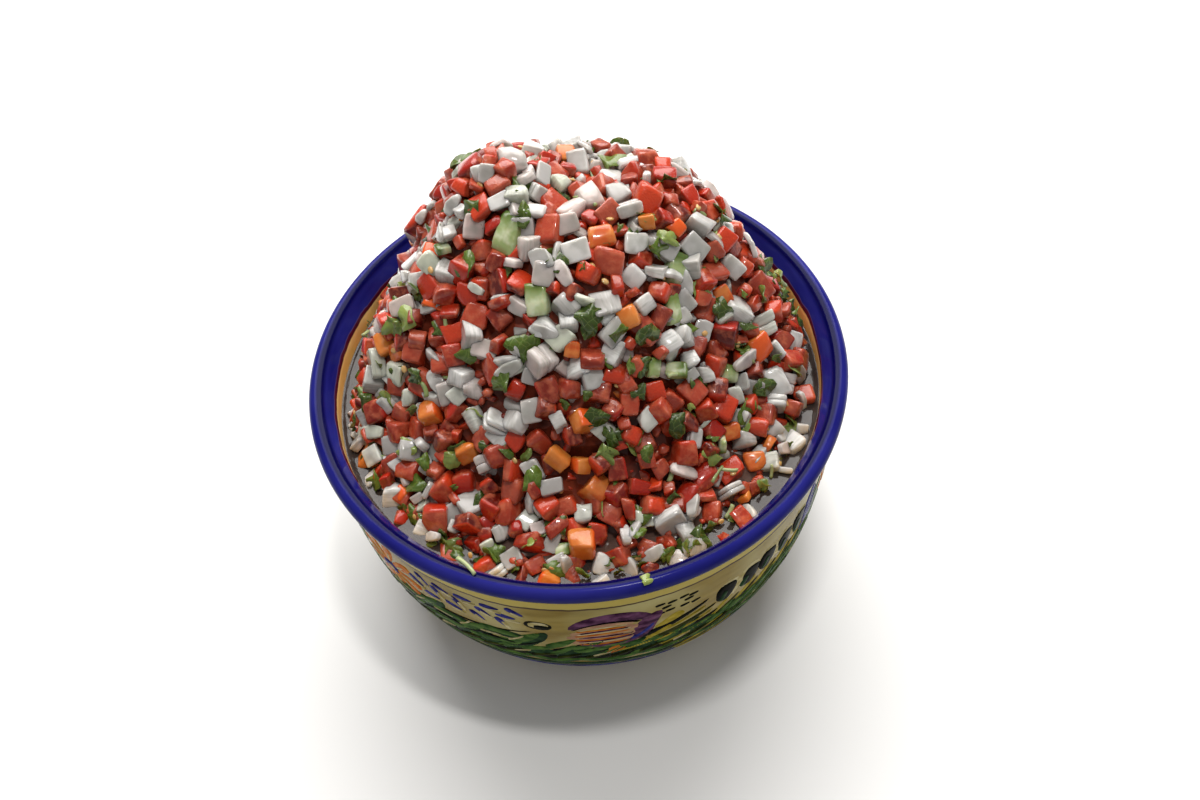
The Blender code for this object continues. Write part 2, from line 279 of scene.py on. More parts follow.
def bowl_glaze():
    """Glaze whose colour follows the bowl's own height and radius, with hand-brushed edges."""
    look = Look("Painted tin glaze", Specular_IOR_Level=0.06)
    height = look.add("SeparateXYZ", look.place).outputs["Z"]
    level = look.math("ADD", height, look.share(look.noise(70.0, 3.0), 0.3, 0.7, 0.0006, -0.0006))
    side = look.add("Attribute", attribute_name="outside").outputs["Fac"]
    outside = look.math("GREATER_THAN", side, 0.5)
    inside = look.math("LESS_THAN", side, 0.5)
    wash = look.share(look.noise(1.0, 4.0, look.stretched(30.0, 30.0, 190.0)), 0.35, 0.68)
    patches = look.share(look.noise(38.0), 0.42, 0.66)

    ground = look.mix(patches, look.mix(wash, "#74601E", "#907C34"), "#A49A64")
    wall = look.mix(outside, look.mix(wash, "#FFC66C", "#FFD68C"), ground)
    painted_rings = [(outside, YELLOW_BAND, 0.0002, "#AC9A4A")]
    # The dark line just under the roll is partly a painted line and partly painted shadow under the rim
    painted_rings += [(outside, line, 0.00018, "#35200F") for line in DARK_LINES_AND_RIM_SHADOW]
    painted_rings.append((inside, MAROON_LINE, 0.0003, "#4A1023"))
    for face, limits, soft, paint in painted_rings:
        wall = look.mix(look.math("MULTIPLY", look.between(limits, level, soft), face), wall, paint)

    ground_place = look.add("VectorMath", look.place, (1.0, 1.0, 0.0), operation="MULTIPLY").outputs[0]
    radius = look.add("VectorMath", ground_place, operation="LENGTH").outputs["Value"]
    cobalt = look.mix(wash, "#141560", "#252676")
    # Painted shade: the top of the rim is darker where the glaze reflects little light
    cobalt = look.mix(look.between(PAINTED_CREST_SHADE, radius, 0.0005), cobalt, "#04043A")
    # Painted shade: the underside of the roll, outside, is painted darker cobalt
    below = look.share(level, RIM_LEVEL + 0.0016, RIM_LEVEL - 0.0012)
    cobalt = look.mix(look.math("MULTIPLY", below, outside), cobalt, "#0A0A40")
    limit = look.math("MULTIPLY_ADD", outside, -COBALT_LOWER_OUTSIDE, COBALT_INSIDE)
    rim = look.share(look.math("SUBTRACT", level, limit), -0.0003, 0.0003, curve="SMOOTHSTEP")
    bare = look.math("LESS_THAN", height, 0.0005)
    look.colour(look.mix(bare, look.mix(rim, wall, cobalt), "#B9744A"))
    look.feed(look.shader.inputs["Roughness"], look.share(bare, 0.0, 1.0, 0.8, 0.13))
    look.bump(0.35, 0.0012, look.math("MULTIPLY_ADD", look.noise(900.0), 0.03, look.noise(45.0, 1.0)))
    return look


bowl = piece_from(spun(bowl_profile(), BOWL_TURNS), "glazed_bowl")
outside_mark = bowl.data.attributes.new("outside", "FLOAT", "POINT")
for vertex in bowl.data.vertices:
    radius = math.hypot(vertex.co.x, vertex.co.y)
    if vertex.co.z > RIM_LEVEL:
        middle = RIM_CENTRE_RADIUS
    elif vertex.co.z > FLOOR_LEVEL:
        middle = (inner_radius(vertex.co.z) + outer_radius(vertex.co.z)) / 2
    else:
        middle = 1.0 if vertex.co.z > FLOOR_LEVEL - 0.0005 and radius < FLOOR_RADIUS else -1.0
    outside_mark.data[vertex.index].value = float(radius > middle)
shaded(bowl, bowl_glaze())
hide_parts("bowl")

# The painted decoration
# Coloured glazes brushed over the ground in thick strokes that stand a little proud: a mauve arched
# flower, an orange rosette, leaves, dabs and teardrops, in three like panels round the bowl.

STROKE_HEIGHT = 0.00014
STROKE_DEPTH = 0.0003
PANEL_DEGREES = 120
MM = 0.001
# Each glaze where the brush left it thick and where it left it thin
GLAZES = {
    "cream": ("#C2B890", "#A0925C"),
    "black": ("#070806", "#14160E"),
    "violet": ("#341830", "#6A4460"),
    "orange": ("#A9550F", "#BE7A30"),
    "green": ("#26431C", "#526E34"),
    "deep_green": ("#142A18", "#2A4428"),
    "cobalt": ("#121150", "#3E4084"),
    "olive": ("#1C200A", "#3C4016"),
    "yellow": ("#8A7A22", "#A8953C"),
    "tan": ("#96705A", "#B08C68"),
}
# Glaze, degrees round the bowl, level and width in mm, and layer of the flower's inner petals
INNER_PETALS = (("cream", -1.0, 57.7, 1.0, 2), ("orange", -1.3, 56.2, 1.2, 2), ("violet", -0.5, 55.2, 0.7, 3))


def arrays_of(shape):
    """The vertices and faces of a bmesh as arrays, and the bmesh freed."""
    shape.verts.index_update()
    vertices = np.array([vertex.co[:] for vertex in shape.verts])
    faces = [[vertex.index for vertex in face.verts] for face in shape.faces]
    shape.free()
    return vertices, faces


def stroke_template():
    """A closed strip from -1 to 1 along X and Y, raised inside and let down into the clay all round."""
    shape = bmesh.new()
    bmesh.ops.create_cube(shape, size=2.0)
    for axis, cuts in ((0, 13), (1, 3)):
        edges = [edge for edge in shape.edges if abs(edge.verts[0].co[axis] - edge.verts[1].co[axis]) > 1]
        bmesh.ops.subdivide_edges(shape, edges=edges, cuts=cuts)
    corners, faces = arrays_of(shape)
    x, y, z = corners.T
    width = np.maximum(1 - np.abs(x) ** 2.4, 0.0) ** 0.55
    inner = (np.abs(x) < 0.99) & (np.abs(y) < 0.9)
    rise = np.where(z < 0, -2.0, np.where(inner, 1.0, -0.4))
    return np.stack([x, y * (0.04 + 0.96 * width)], 1), rise, faces


STROKE_SHAPE, STROKE_RISE, STROKE_FACES = stroke_template()


def stroke(around, level, length, width, heading=0.0, bend=0.0, taper=0.0, layer=1):
    """One brush stroke on the bowl's side: where, how long and wide, its heading, and its bend per metre."""
    along = STROKE_SHAPE[:, 0] * length / 2
    across = STROKE_SHAPE[:, 1] * width / 2 * (1 - taper * STROKE_SHAPE[:, 0])
    if bend:
        turn = along * bend
        along = np.sin(turn) / bend - across * np.sin(turn)
        across = (1 - np.cos(turn)) / bend + across * np.cos(turn)
    head = math.radians(heading)
    right = along * math.cos(head) - across * math.sin(head)
    levels = level + along * math.sin(head) + across * math.cos(head)
    radii = np.array([outer_radius(min(max(value, BASE_LEVEL), RIM_LEVEL)) for value in levels])
    angles = math.radians(around) + right / outer_radius(level)
    radii += np.where(STROKE_RISE > 0, STROKE_HEIGHT * layer, STROKE_RISE * STROKE_DEPTH)
    return np.stack([radii * np.cos(angles), radii * np.sin(angles), levels], 1)


def brushed(name, strokes, look):
    """Joins strokes of one glaze into one piece."""
    vertices = []
    faces = []
    for placed in strokes:
        faces += [[len(vertices) + i for i in face] for face in STROKE_FACES]
        vertices += placed.tolist()
    mesh = bpy.data.meshes.new(name)
    mesh.from_pydata(vertices, [], faces)
    shape = bmesh.new()
    shape.from_mesh(mesh)
    bmesh.ops.recalc_face_normals(shape, faces=shape.faces)
    shape.to_mesh(mesh)
    shape.free()
    shaded(linked(name, mesh), look)


def brush_glaze(name, thick, thin):
    """A glossy brushed glaze, deeper where it is thick and paler where the brush ran dry."""
    look = Look(name, Roughness=0.12, Specular_IOR_Level=0.005)
    dry = look.share(look.noise(1.0, 3.0, look.stretched(260.0, 260.0, 420.0)), 0.38, 0.66)
    look.colour(look.mix(dry, thick, thin))
    look.bump(0.25, 0.0006, look.noise(160.0))
    return look


def panel_strokes(middle, draw):
    """One panel of the decoration, as lists of strokes by the name of their glaze."""
    found = {key: [] for key in GLAZES}

    def put(glaze, around, level, length, width, heading=0.0, bend=0.0, taper=0.0, layer=1):
        """One stroke: degrees round the bowl, level, length and width in mm, and how it turns."""
        around += middle + draw.uniform(-0.4, 0.4)
        level = level * MM + draw.uniform(-0.0004, 0.0004)
        heading += draw.uniform(-4, 4)
        found[glaze].append(stroke(around, level, length * MM, width * MM, heading, bend, taper, layer))

    # A ground of leaves all round, with darker rows under them down to the foot
    for i in range(20):
        around = -58 + 6.0 * i
        swing = (-1) ** i
        put("deep_green", around + 2, 38.5 + 1.2 * swing, 17.0, 6.2, 24 + 14 * swing, 20, 0.4)
        put("green", around, 40.0, 13.0, 4.0, 30 + 14 * swing, 24, 0.4, 2)
        put("black", around + 3, 32.5, 16.0, 5.6, -18 * swing, -20, 0.4)
        put("green", around + 1, 30.0, 14.0, 4.6, 20 * swing, 20, 0.4, 2)
        put("olive", around + 1, 34.5, 10.0, 2.4, 30, 0, 0.3, 3)
        if i % 3 == 0:
            put("cream", around + 2, 36.0, 7.0, 0.9, 26, 0, 0.3, 3)
        put("deep_green", around, 24.0, 17.0, 5.8, 8, 10, 0.5)
        put("cobalt", around + 3, 18.5, 13.0, 3.6, 4, 0, 0.3)
        put("black", around, 14.5, 15.0, 2.6, 4, 0, 0.3)

    # An arched flower with long inner petals
    for i in range(4):
        put("tan", -1.0, 58.8 - 4.0 * i, 23.5 - 2.2 * abs(i - 1.5), 5.6, 5, -24 + 16 * i)
    put("violet", 0.4, 63.4, 29.0, 6.4, 4, -58, -0.2, 2)
    put("violet", 8.0, 54.5, 17.0, 7.4, 64, -50, 0.2, 2)
    put("violet", 1.0, 44.0, 24.0, 3.8, 8, 60, -0.2, 2)
    put("cobalt", 7.4, 50.0, 12.0, 2.4, 50, 50, 0.1, 3)
    put("black", -0.6, 60.6, 23.0, 0.7, 4, -58, 0.0, 3)
    for i in range(4):
        length = 19.0 - 2.0 * abs(i - 1.5)
        for glaze, around, level, width, layer in INNER_PETALS:
            put(glaze, around, level - 3.4 * i, length, width, 6 - i, -24 + 16 * i, 0.2, layer)
    put("yellow", 13.5, 53.0, 11.0, 5.0, 35, 40, -0.5)
    put("orange", 1, 38.5, 9.0, 5.6, 50, 0, -0.6, 2)
    put("yellow", 10, 45.5, 13.0, 3.0, 35, 0, -0.4, 2)
    put("yellow", 6, 39.5, 12.0, 2.6, 20, 0, -0.4, 2)
    for i in range(4):
        put("black", -8 + 5.5 * i, 42.5 - 1.0 * i, 16.0, 3.4, 34 - 8 * i, 22, 0.5)
        put("green", -10 + 5.5 * i, 46.0 - 1.2 * i, 13.0, 4.2, 40 - 10 * i, 22, 0.5, 2)

    # An eye dot with a fine ring
    put("black", -14, 59.0, 8.8, 6.8, -8)
    put("cream", -14, 59.0, 6.8, 5.0, -8, layer=2)
    put("black", -13.8, 58.9, 5.2, 3.8, -8, layer=3)

    # Leaves in two greens along a bending stalk
    for i in range(6):
        around = -16 - 6.0 * i
        swing = (-1) ** i
        wave = 1.6 * math.sin(i * 2.1)
        lean = 20 + 24 * swing
        bend = 30 * swing
        put("deep_green", around, 47.0 + wave, 17.0, 7.6, lean, bend, 0.35)
        put("green", around - 1.5, 47.6 + wave, 14.0, 5.2, lean, bend, 0.35, 2)
        put("green", around - 3, 40.0 + 1.4 * math.sin(i * 1.3), 15.0, 6.0, 10 - 22 * swing, -30, 0.35)
        put("black", around - 2, 43.0, 14.0, 1.6, 14 + 18 * swing, 26 * swing, 0.3, 2)
        put("cream", around - 4, 46.5, 8.0, 0.9, lean + 2, bend, 0.3, 3)
    put("black", -30, 50.5, 42.0, 1.4, 2, 12, 0.3)

    # Violet blue dashes over the leaves
    for i in range(14):
        lean = -32 + 34 * math.sin(2.4 * i)
        put("cobalt", -19 - 1.8 * i, 65.5 - 4.2 * (i % 3), 6.6, 3.0, lean, 40, 0.4)
        put("cream", -18.0 - 1.8 * i, 64.0 - 4.2 * (i % 3), 5.0, 1.3, lean, 40, 0.3, 2)

    # A rosette of orange petals round a blue heart
    for i in range(9):
        way = on_circle(2 * math.pi * i / 9)
        heading = 40 * i
        put("orange", -51 + 5.4 * way.x, 56.5 + 7.8 * way.y, 11.0, 5.6, heading, 0, -0.35)
        put("cream", -51 + 5.0 * way.x, 56.5 + 7.2 * way.y, 5.5, 1.0, heading, 0, -0.35, 2)
    put("cobalt", -51, 56.5, 7.4, 6.8, layer=2)
    put("cream", -51, 56.5, 3.0, 3.0, layer=3)

    # Two clusters of five small dabs
    for start in (11.5, 16.5):
        for i, j in ((0, 0), (1, 0), (0.5, -1), (0, -2), (1, -2)):
            put("black", start + 2.2 * i, 63.5 + 2.5 * j + start / 12, 3.3, 1.7, 12, 0, 0.2)

    # Dark diagonal strokes under them
    for i in range(6):
        put("olive" if i % 2 else "black", 14 + 1.7 * i, 50.0 - 5.0 * i, 28.0, 4.0, 22, 8, 0.45)
        put("yellow", 15 + 1.7 * i, 47.8 - 5.0 * i, 22.0, 1.3, 22, 8, 0.3, 2)

    # A row of dark teardrops with pale halos, and slanting lines below
    for i in range(5):
        around = 27.0 + 5.6 * i
        level = 54.0 + 0.9 * i
        put("cream", around, level + 0.3, 13.2, 10.4, 82, 0, -0.1)
        put("black", around, level, 11.8, 9.0, 82, 0, -0.2, 2)
        put("deep_green", around - 0.8, level - 1.2, 6.0, 3.4, 70, 0, 0.0, 3)
        put("yellow", around - 0.6, level - 8.8, 12.0, 2.6, 52, 0, 0.3)
        for j in range(3):
            put("olive", around + 1.8 * j, level - 11.0 - 3.0 * j, 13.0, 2.4, 42, 0, 0.4)
            put("green", around + 1.8 * j + 1, level - 13.5 - 3.0 * j, 11.0, 1.8, 38, 0, 0.4, 2)
    for i in range(4):
        put("cobalt", 54.5, 64.0 - 4.6 * i, 12.0, 4.8, 60 - 10 * i, 0, 0.3)
        put("green", 57.5, 58.0 - 5.6 * i, 11.0, 4.6, 50, 25, 0.3)
    return found


hand = random.Random(8)
painted = {key: [] for key in GLAZES}
for panel in range(360 // PANEL_DEGREES):
    for key, strokes in panel_strokes(-90 + PANEL_DEGREES * panel, hand).items():
        painted[key] += strokes
for key, (thick, thin) in GLAZES.items():
    glaze = brush_glaze("Brushed " + key.replace("_", " ") + " glaze", thick, thin)
    brushed("painted_" + key, painted[key], glaze)

# The juice
# Tomato and lime juice that has drained to the bottom and stands about 11 mm below the rim. It climbs
# a little where it wets the wall, and reaches under the heap.

JUICE_LEVEL = 0.069
JUICE_INNER = 0.055
JUICE_FLAT = 0.0735
CLIMB_WIDTH = 0.0032
CLIMB_HEIGHT = 0.0009
LEDGE_LEVEL = 0.060
JUICE_UNDERSIDE = LEDGE_LEVEL + 0.001

juice_profile = [(JUICE_INNER, JUICE_UNDERSIDE), (JUICE_INNER, JUICE_LEVEL), (0.066, JUICE_LEVEL)]
for part in steps(0.0, 1.0, 5):
    juice_profile.append((JUICE_FLAT + CLIMB_WIDTH * part, JUICE_LEVEL + CLIMB_HEIGHT * part ** 3))
juice_profile += [(0.0770, JUICE_LEVEL + CLIMB_HEIGHT), (0.0768, JUICE_UNDERSIDE)]
juice_profile.append(juice_profile[0])
juice = piece_from(spun(juice_profile, 120), "standing_juice")

look = Look("Cloudy tomato and lime juice", Roughness=0.05, Transmission_Weight=0.4, IOR=1.34)
look.colour(look.mix(look.share(look.noise(110.0, 4.0), 0.35, 0.7), "#3E3634", "#524A46"))
look.bump(0.25, 0.001, look.noise(95.0, 1.0))
shaded(juice, look)
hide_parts("juice")

# The heap's core
# The mass of chopped vegetables that does not show, as one dark, wet body that fills the bowl and
# carries the loose pieces. Its dark red-brown is wet pulp painted darker as the shade in the gaps
# between the pieces. Its dome is the food's outer surface, let down by most of a piece.

GAP = 0.0003
PEAK = Vector((0.0027, 0.0204))
PEAK_HEIGHT = 0.054
REACH_RADIUS = 0.075
BACK_EDGE = 0.006
SIDE_EDGE = -0.012
FRONT_EDGE = -0.009
FOOT_CENTRE = Vector((0.0, 0.002))
FOOT_RADIUS = 0.0675
FLANK_PART = 0.3
CORE_DEPTH = 0.008
CORE_BULGE = 0.0012
CORE_LEVELS = (LEDGE_LEVEL, 0.050, 0.040, 0.026, 0.017, 0.0125, FLOOR_LEVEL + 0.0005)
LIFTED = 0.2
# The steeper flank: angles between which it sets in and ends, its foot, its slope and its end's height
STEEP_FROM = (2.26, 2.44)
STEEP_TO = (2.85, 3.12)
STEEP_RADIUS = 0.0712
STEEP_SLOPE = 1.5
STEEP_FADE = 0.035
# Across, to the back, height and width of each lump
LUMPS = [
    (-0.020, 0.036, 0.011, 0.014),
    (0.015, 0.038, -0.007, 0.012),
    (0.036, 0.042, 0.003, 0.010),
    (-0.046, 0.030, -0.002, 0.014),
]


def smooth(low, high, value):
    part = min(max((value - low) / (high - low), 0.0), 1.0)
    return part * part * (3 - 2 * part)


def food_height(x, y):
    """Height of the food over the rim level, a dome that slumps to the front and is steeper back left."""
    away = Vector((x, y)) - PEAK
    distance = away.length
    if distance < 1e-6:
        return PEAK_HEIGHT
    way = away / distance
    along = way.dot(PEAK)
    reach = math.sqrt(along * along - PEAK.length_squared + REACH_RADIUS ** 2) - along
    part = min(distance / reach, 1.0)
    full = (1 - part ** 2.98) ** 0.72
    slumped = (1 + math.cos(math.pi * part ** 1.15)) / 2
    front = smooth(-0.1, 0.85, -way.y)
    edge = SIDE_EDGE + (BACK_EDGE - SIDE_EDGE) * smooth(0.3, 0.75, way.y)
    edge += (FRONT_EDGE - SIDE_EDGE) * front
    height = edge + (PEAK_HEIGHT - edge) * (full + (slumped - full) * front)
    for lump_x, lump_y, lump_height, width in LUMPS:
        square = ((x - lump_x) ** 2 + (y - lump_y) ** 2) / width ** 2
        height += lump_height * math.exp(-square)
    angle = math.atan2(y, x)
    steep = smooth(*STEEP_FROM, angle) * (1 - smooth(*STEEP_TO, angle))
    return min(height, (STEEP_RADIUS - math.hypot(x, y)) * STEEP_SLOPE + (1 - steep) * STEEP_FADE)


def core_level(x, y):
    return max(RIM_LEVEL + food_height(x, y) - CORE_DEPTH, JUICE_LEVEL + 0.001)


def dome_point(angle, part):
    """A point of the core's dome, from the peak at part 0 to its foot at part 1, then down its flank."""
    place = PEAK.lerp(FOOT_CENTRE + on_circle(angle, FOOT_RADIUS), min(part, 1.0))
    level = core_level(*place)
    if part > 1.0:
        level += (JUICE_LEVEL - level) * (part - 1.0) / FLANK_PART
    return Vector((*place, level))


def normal_of(level, place, reach):
    """The upward normal of a surface given by its level at each place."""
    slope_x = level(place.x + reach, place.y) - level(place.x - reach, place.y)
    slope_y = level(place.x, place.y + reach) - level(place.x, place.y - reach)
    return Vector((-slope_x, -slope_y, 2 * reach)).normalized()


def dome_normal(angle, part):
    if part > 1.0:
        return Vector((*on_circle(angle), 0.25)).normalized()
    return normal_of(core_level, dome_point(angle, part), 0.004)


def on_dome(draw, reach):
    """A random place on the core's dome, out to a part of its reach, with its normal."""
    angle = draw.uniform(0, 2 * math.pi)
    part = reach * math.sqrt(draw.random())
    return dome_point(angle, part), dome_normal(angle, part)


core_profile = [(radius, LIFTED) for radius in steps(0.0, FOOT_RADIUS, 24)] + [(FOOT_RADIUS, LEDGE_LEVEL)]
core_profile += [(inner_radius(level) - 2 * GAP, level) for level in CORE_LEVELS]
core_profile.append((0.0, FLOOR_LEVEL + GAP))
core_shape = spun(core_profile, 96)
for vertex in core_shape.verts:
    radius = math.hypot(vertex.co.x, vertex.co.y)
    if vertex.co.z > LIFTED - GAP:
        vertex.co = dome_point(math.atan2(vertex.co.y, vertex.co.x), radius / FOOT_RADIUS)
        vertex.co.z += CORE_BULGE * (1 - (radius / FOOT_RADIUS) ** 4)
    elif vertex.co.z > LEDGE_LEVEL - GAP and radius < FOOT_RADIUS + GAP:
        vertex.co.xy += FOOT_CENTRE
core = piece_from(core_shape, "heap_core")

look = Look("Wet pulp darkened as painted gap shade", Roughness=0.22, Specular_IOR_Level=0.2)
height = look.add("SeparateXYZ", look.place).outputs["Z"]
soaked = look.share(height, JUICE_LEVEL + 0.005, JUICE_LEVEL + 0.001)
# Wet pulp tones painted darker as the shade that fills the gaps between the pieces
pulp_and_gap_shade = look.mix(look.share(look.noise(120.0, 3.0), 0.4, 0.65), "#451A10", "#7C3522")
look.colour(look.mix(soaked, pulp_and_gap_shade, "#5C4840"))
look.bump(0.9, 0.003, look.add("TexVoronoi", Vector=look.place, Scale=190.0).outputs[0])
shaded(core, look)
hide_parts("pico_de_gallo")

# Where the pieces lie
# The main pieces that the photo shows lie where it shows them. Elsewhere the outer layer lies by the
# same rule as in the solid, and smaller pieces fill the room between, pushed apart like marbles.

SEED = 21
# Least distance, shortest and longest edge, and share of slabs, for large and then for small pieces
PIECE_ROUNDS = ((0.0108, 0.0078, 0.0098, 0.35), (0.0087, 0.0052, 0.0070, 0.5))
PIECE_TRIES = 2600
PIECE_LEAN = 0.7
PIECE_LIFT = 0.0026
SLAB_THICKNESS = 0.55
LEAF_SPACING = 0.024
LEAF_LENGTH = 0.0105
LEAF_TRIES = 400
LEAF_LEAN = 0.35
LEAF_LIFT = 0.0048
CLEARANCE = 0.0005
FREE_FRONT = 0.0685
SHIFT_STEP = 0.0008
SHIFT_TRIES = 6
SEEN_REACH = 0.0750
SEEN_SINK = 0.0006
UNEVEN = 0.72
# Angles between which much of the juice lies open, at the right and at the front
OPEN_RIGHT = (-0.75, 0.6)
OPEN_FRONT = (-2.3, -0.75)
# How high food may stand at the wall: level, slope, foot right and left, and the rise to the back left
WALL_LEVEL = 0.0705
WALL_SLOPE = 3.0
RIGHT_FOOT = 0.0765
LEFT_FOOT = 0.0740
LEFT_SLOPE_FROM = 2.5
LEFT_SLOPE_FULL = 2.75
LEFT_SLOPE_TO = -2.6
BACK_RISE = 0.02
MOST_DROP = 0.006
# The smaller pieces: sizes and number in the heap and in the juice, and how they are pushed apart
FILLING_SIZES = (0.0042, 0.0054, 0.0064, 0.0070, 0.0078, 0.0084)
FILLING_COUNT = 1000
JUICE_SIZES = (0.0052, 0.0064, 0.0074, 0.0080, 0.0086)
JUICE_COUNT = 230
HOLE_SIZE = 0.0046
HOLE_TRIES = 3500
PUSHES = 50
PUSH_SHARE = 0.22
TOUCH_SHARE = 0.51
CROWDED_SHARE = 0.34
FAR_AWAY = 9.0


def within(angle, limits):
    return limits[0] < angle < limits[1]


def too_close(point, in_juice=False):
    """Whether a point would touch the bowl, or the juice unless it may lie in it."""
    radius = math.hypot(point.x, point.y)
    if point.z < RIM_LEVEL and radius > inner_radius(point.z) - CLEARANCE:
        return True
    if math.hypot(radius - RIM_CENTRE_RADIUS, point.z - RIM_LEVEL) < RIM_ROLL + CLEARANCE:
        return True
    if radius > RIM_CENTRE_RADIUS and point.z < RIM_LEVEL + 2 * RIM_ROLL:
        return True
    if in_juice:
        return False
    if (point.xy - FOOT_CENTRE).length > FOOT_RADIUS - GAP and point.z < JUICE_LEVEL + CLEARANCE:
        return True
    return point.y < -abs(point.x) and point.z < RIM_LEVEL + 2 * RIM_ROLL and radius > FREE_FRONT


def settled(corners, in_juice=False):
    """Shifts a piece up and towards the peak until no edge or face touches anything, or gives it up."""
    middle = sum(corners, Vector()) / 8
    inward = (Vector((*PEAK, middle.z)) - middle).normalized()
    shift = (inward + Vector((0, 0, 0.0 if in_juice else 0.6))) * SHIFT_STEP
    for _ in range(SHIFT_TRIES):
        pairs = [(corners[i], corners[j]) for i in range(8) for j in range(i + 1, 8)]
        spots = [first.lerp(second, part) for first, second in pairs for part in (0.0, 0.25, 0.5, 0.75, 1.0)]
        if not any(too_close(spot, in_juice) for spot in spots):
            return corners
        corners = [corner + shift for corner in corners]
    return None


def turn_to(normal, draw, tilt):
    """A random turn about the surface's normal, with a random lean."""
    base = normal.to_track_quat("Z", "Y").to_matrix()
    spin = Matrix.Rotation(draw.uniform(0, 2 * math.pi), 3, "Z")
    return base @ spin @ Matrix.Rotation(draw.uniform(-tilt, tilt), 3, "X")


def random_way(draw):
    return Vector([draw.gauss(0, 1) for _ in range(3)]).normalized()


def random_turn(draw):
    axis = random_way(draw)
    return Matrix.Rotation(draw.uniform(0, 2 * math.pi), 3, axis)


def dice_corners(centre, turn, edges, draw, least=0.82):
    """The eight corners of one hand-cut piece, none quite square."""
    corners = []
    for index in range(8):
        signs = (index // 4 - 0.5, index // 2 % 2 - 0.5, index % 2 - 0.5)
        sides = [edge * draw.uniform(least, 1.06) for edge in edges]
        corners.append(centre + turn @ Vector([sign * side for sign, side in zip(signs, sides)]))
    return corners


def place_large():
    """The pieces of the solid: (corners, edges) of each."""
    draw = random.Random(SEED)
    centres = []
    placed = []
    for spacing, shortest, longest, slabs in PIECE_ROUNDS:
        for _ in range(PIECE_TRIES):
            point, normal = on_dome(draw, 1.25)
            edges = [draw.uniform(shortest, longest) for _ in range(3)]
            if draw.random() < slabs:
                edges[2] *= SLAB_THICKNESS
            turn = turn_to(normal, draw, PIECE_LEAN)
            centre = point + normal * draw.uniform(0.0, PIECE_LIFT)
            corners = dice_corners(centre, turn, edges, draw)
            if any((centre - other).length < spacing for other in centres):
                continue
            corners = settled(corners)
            if corners:
                centres.append(centre)
                placed.append((corners, edges))
    return placed
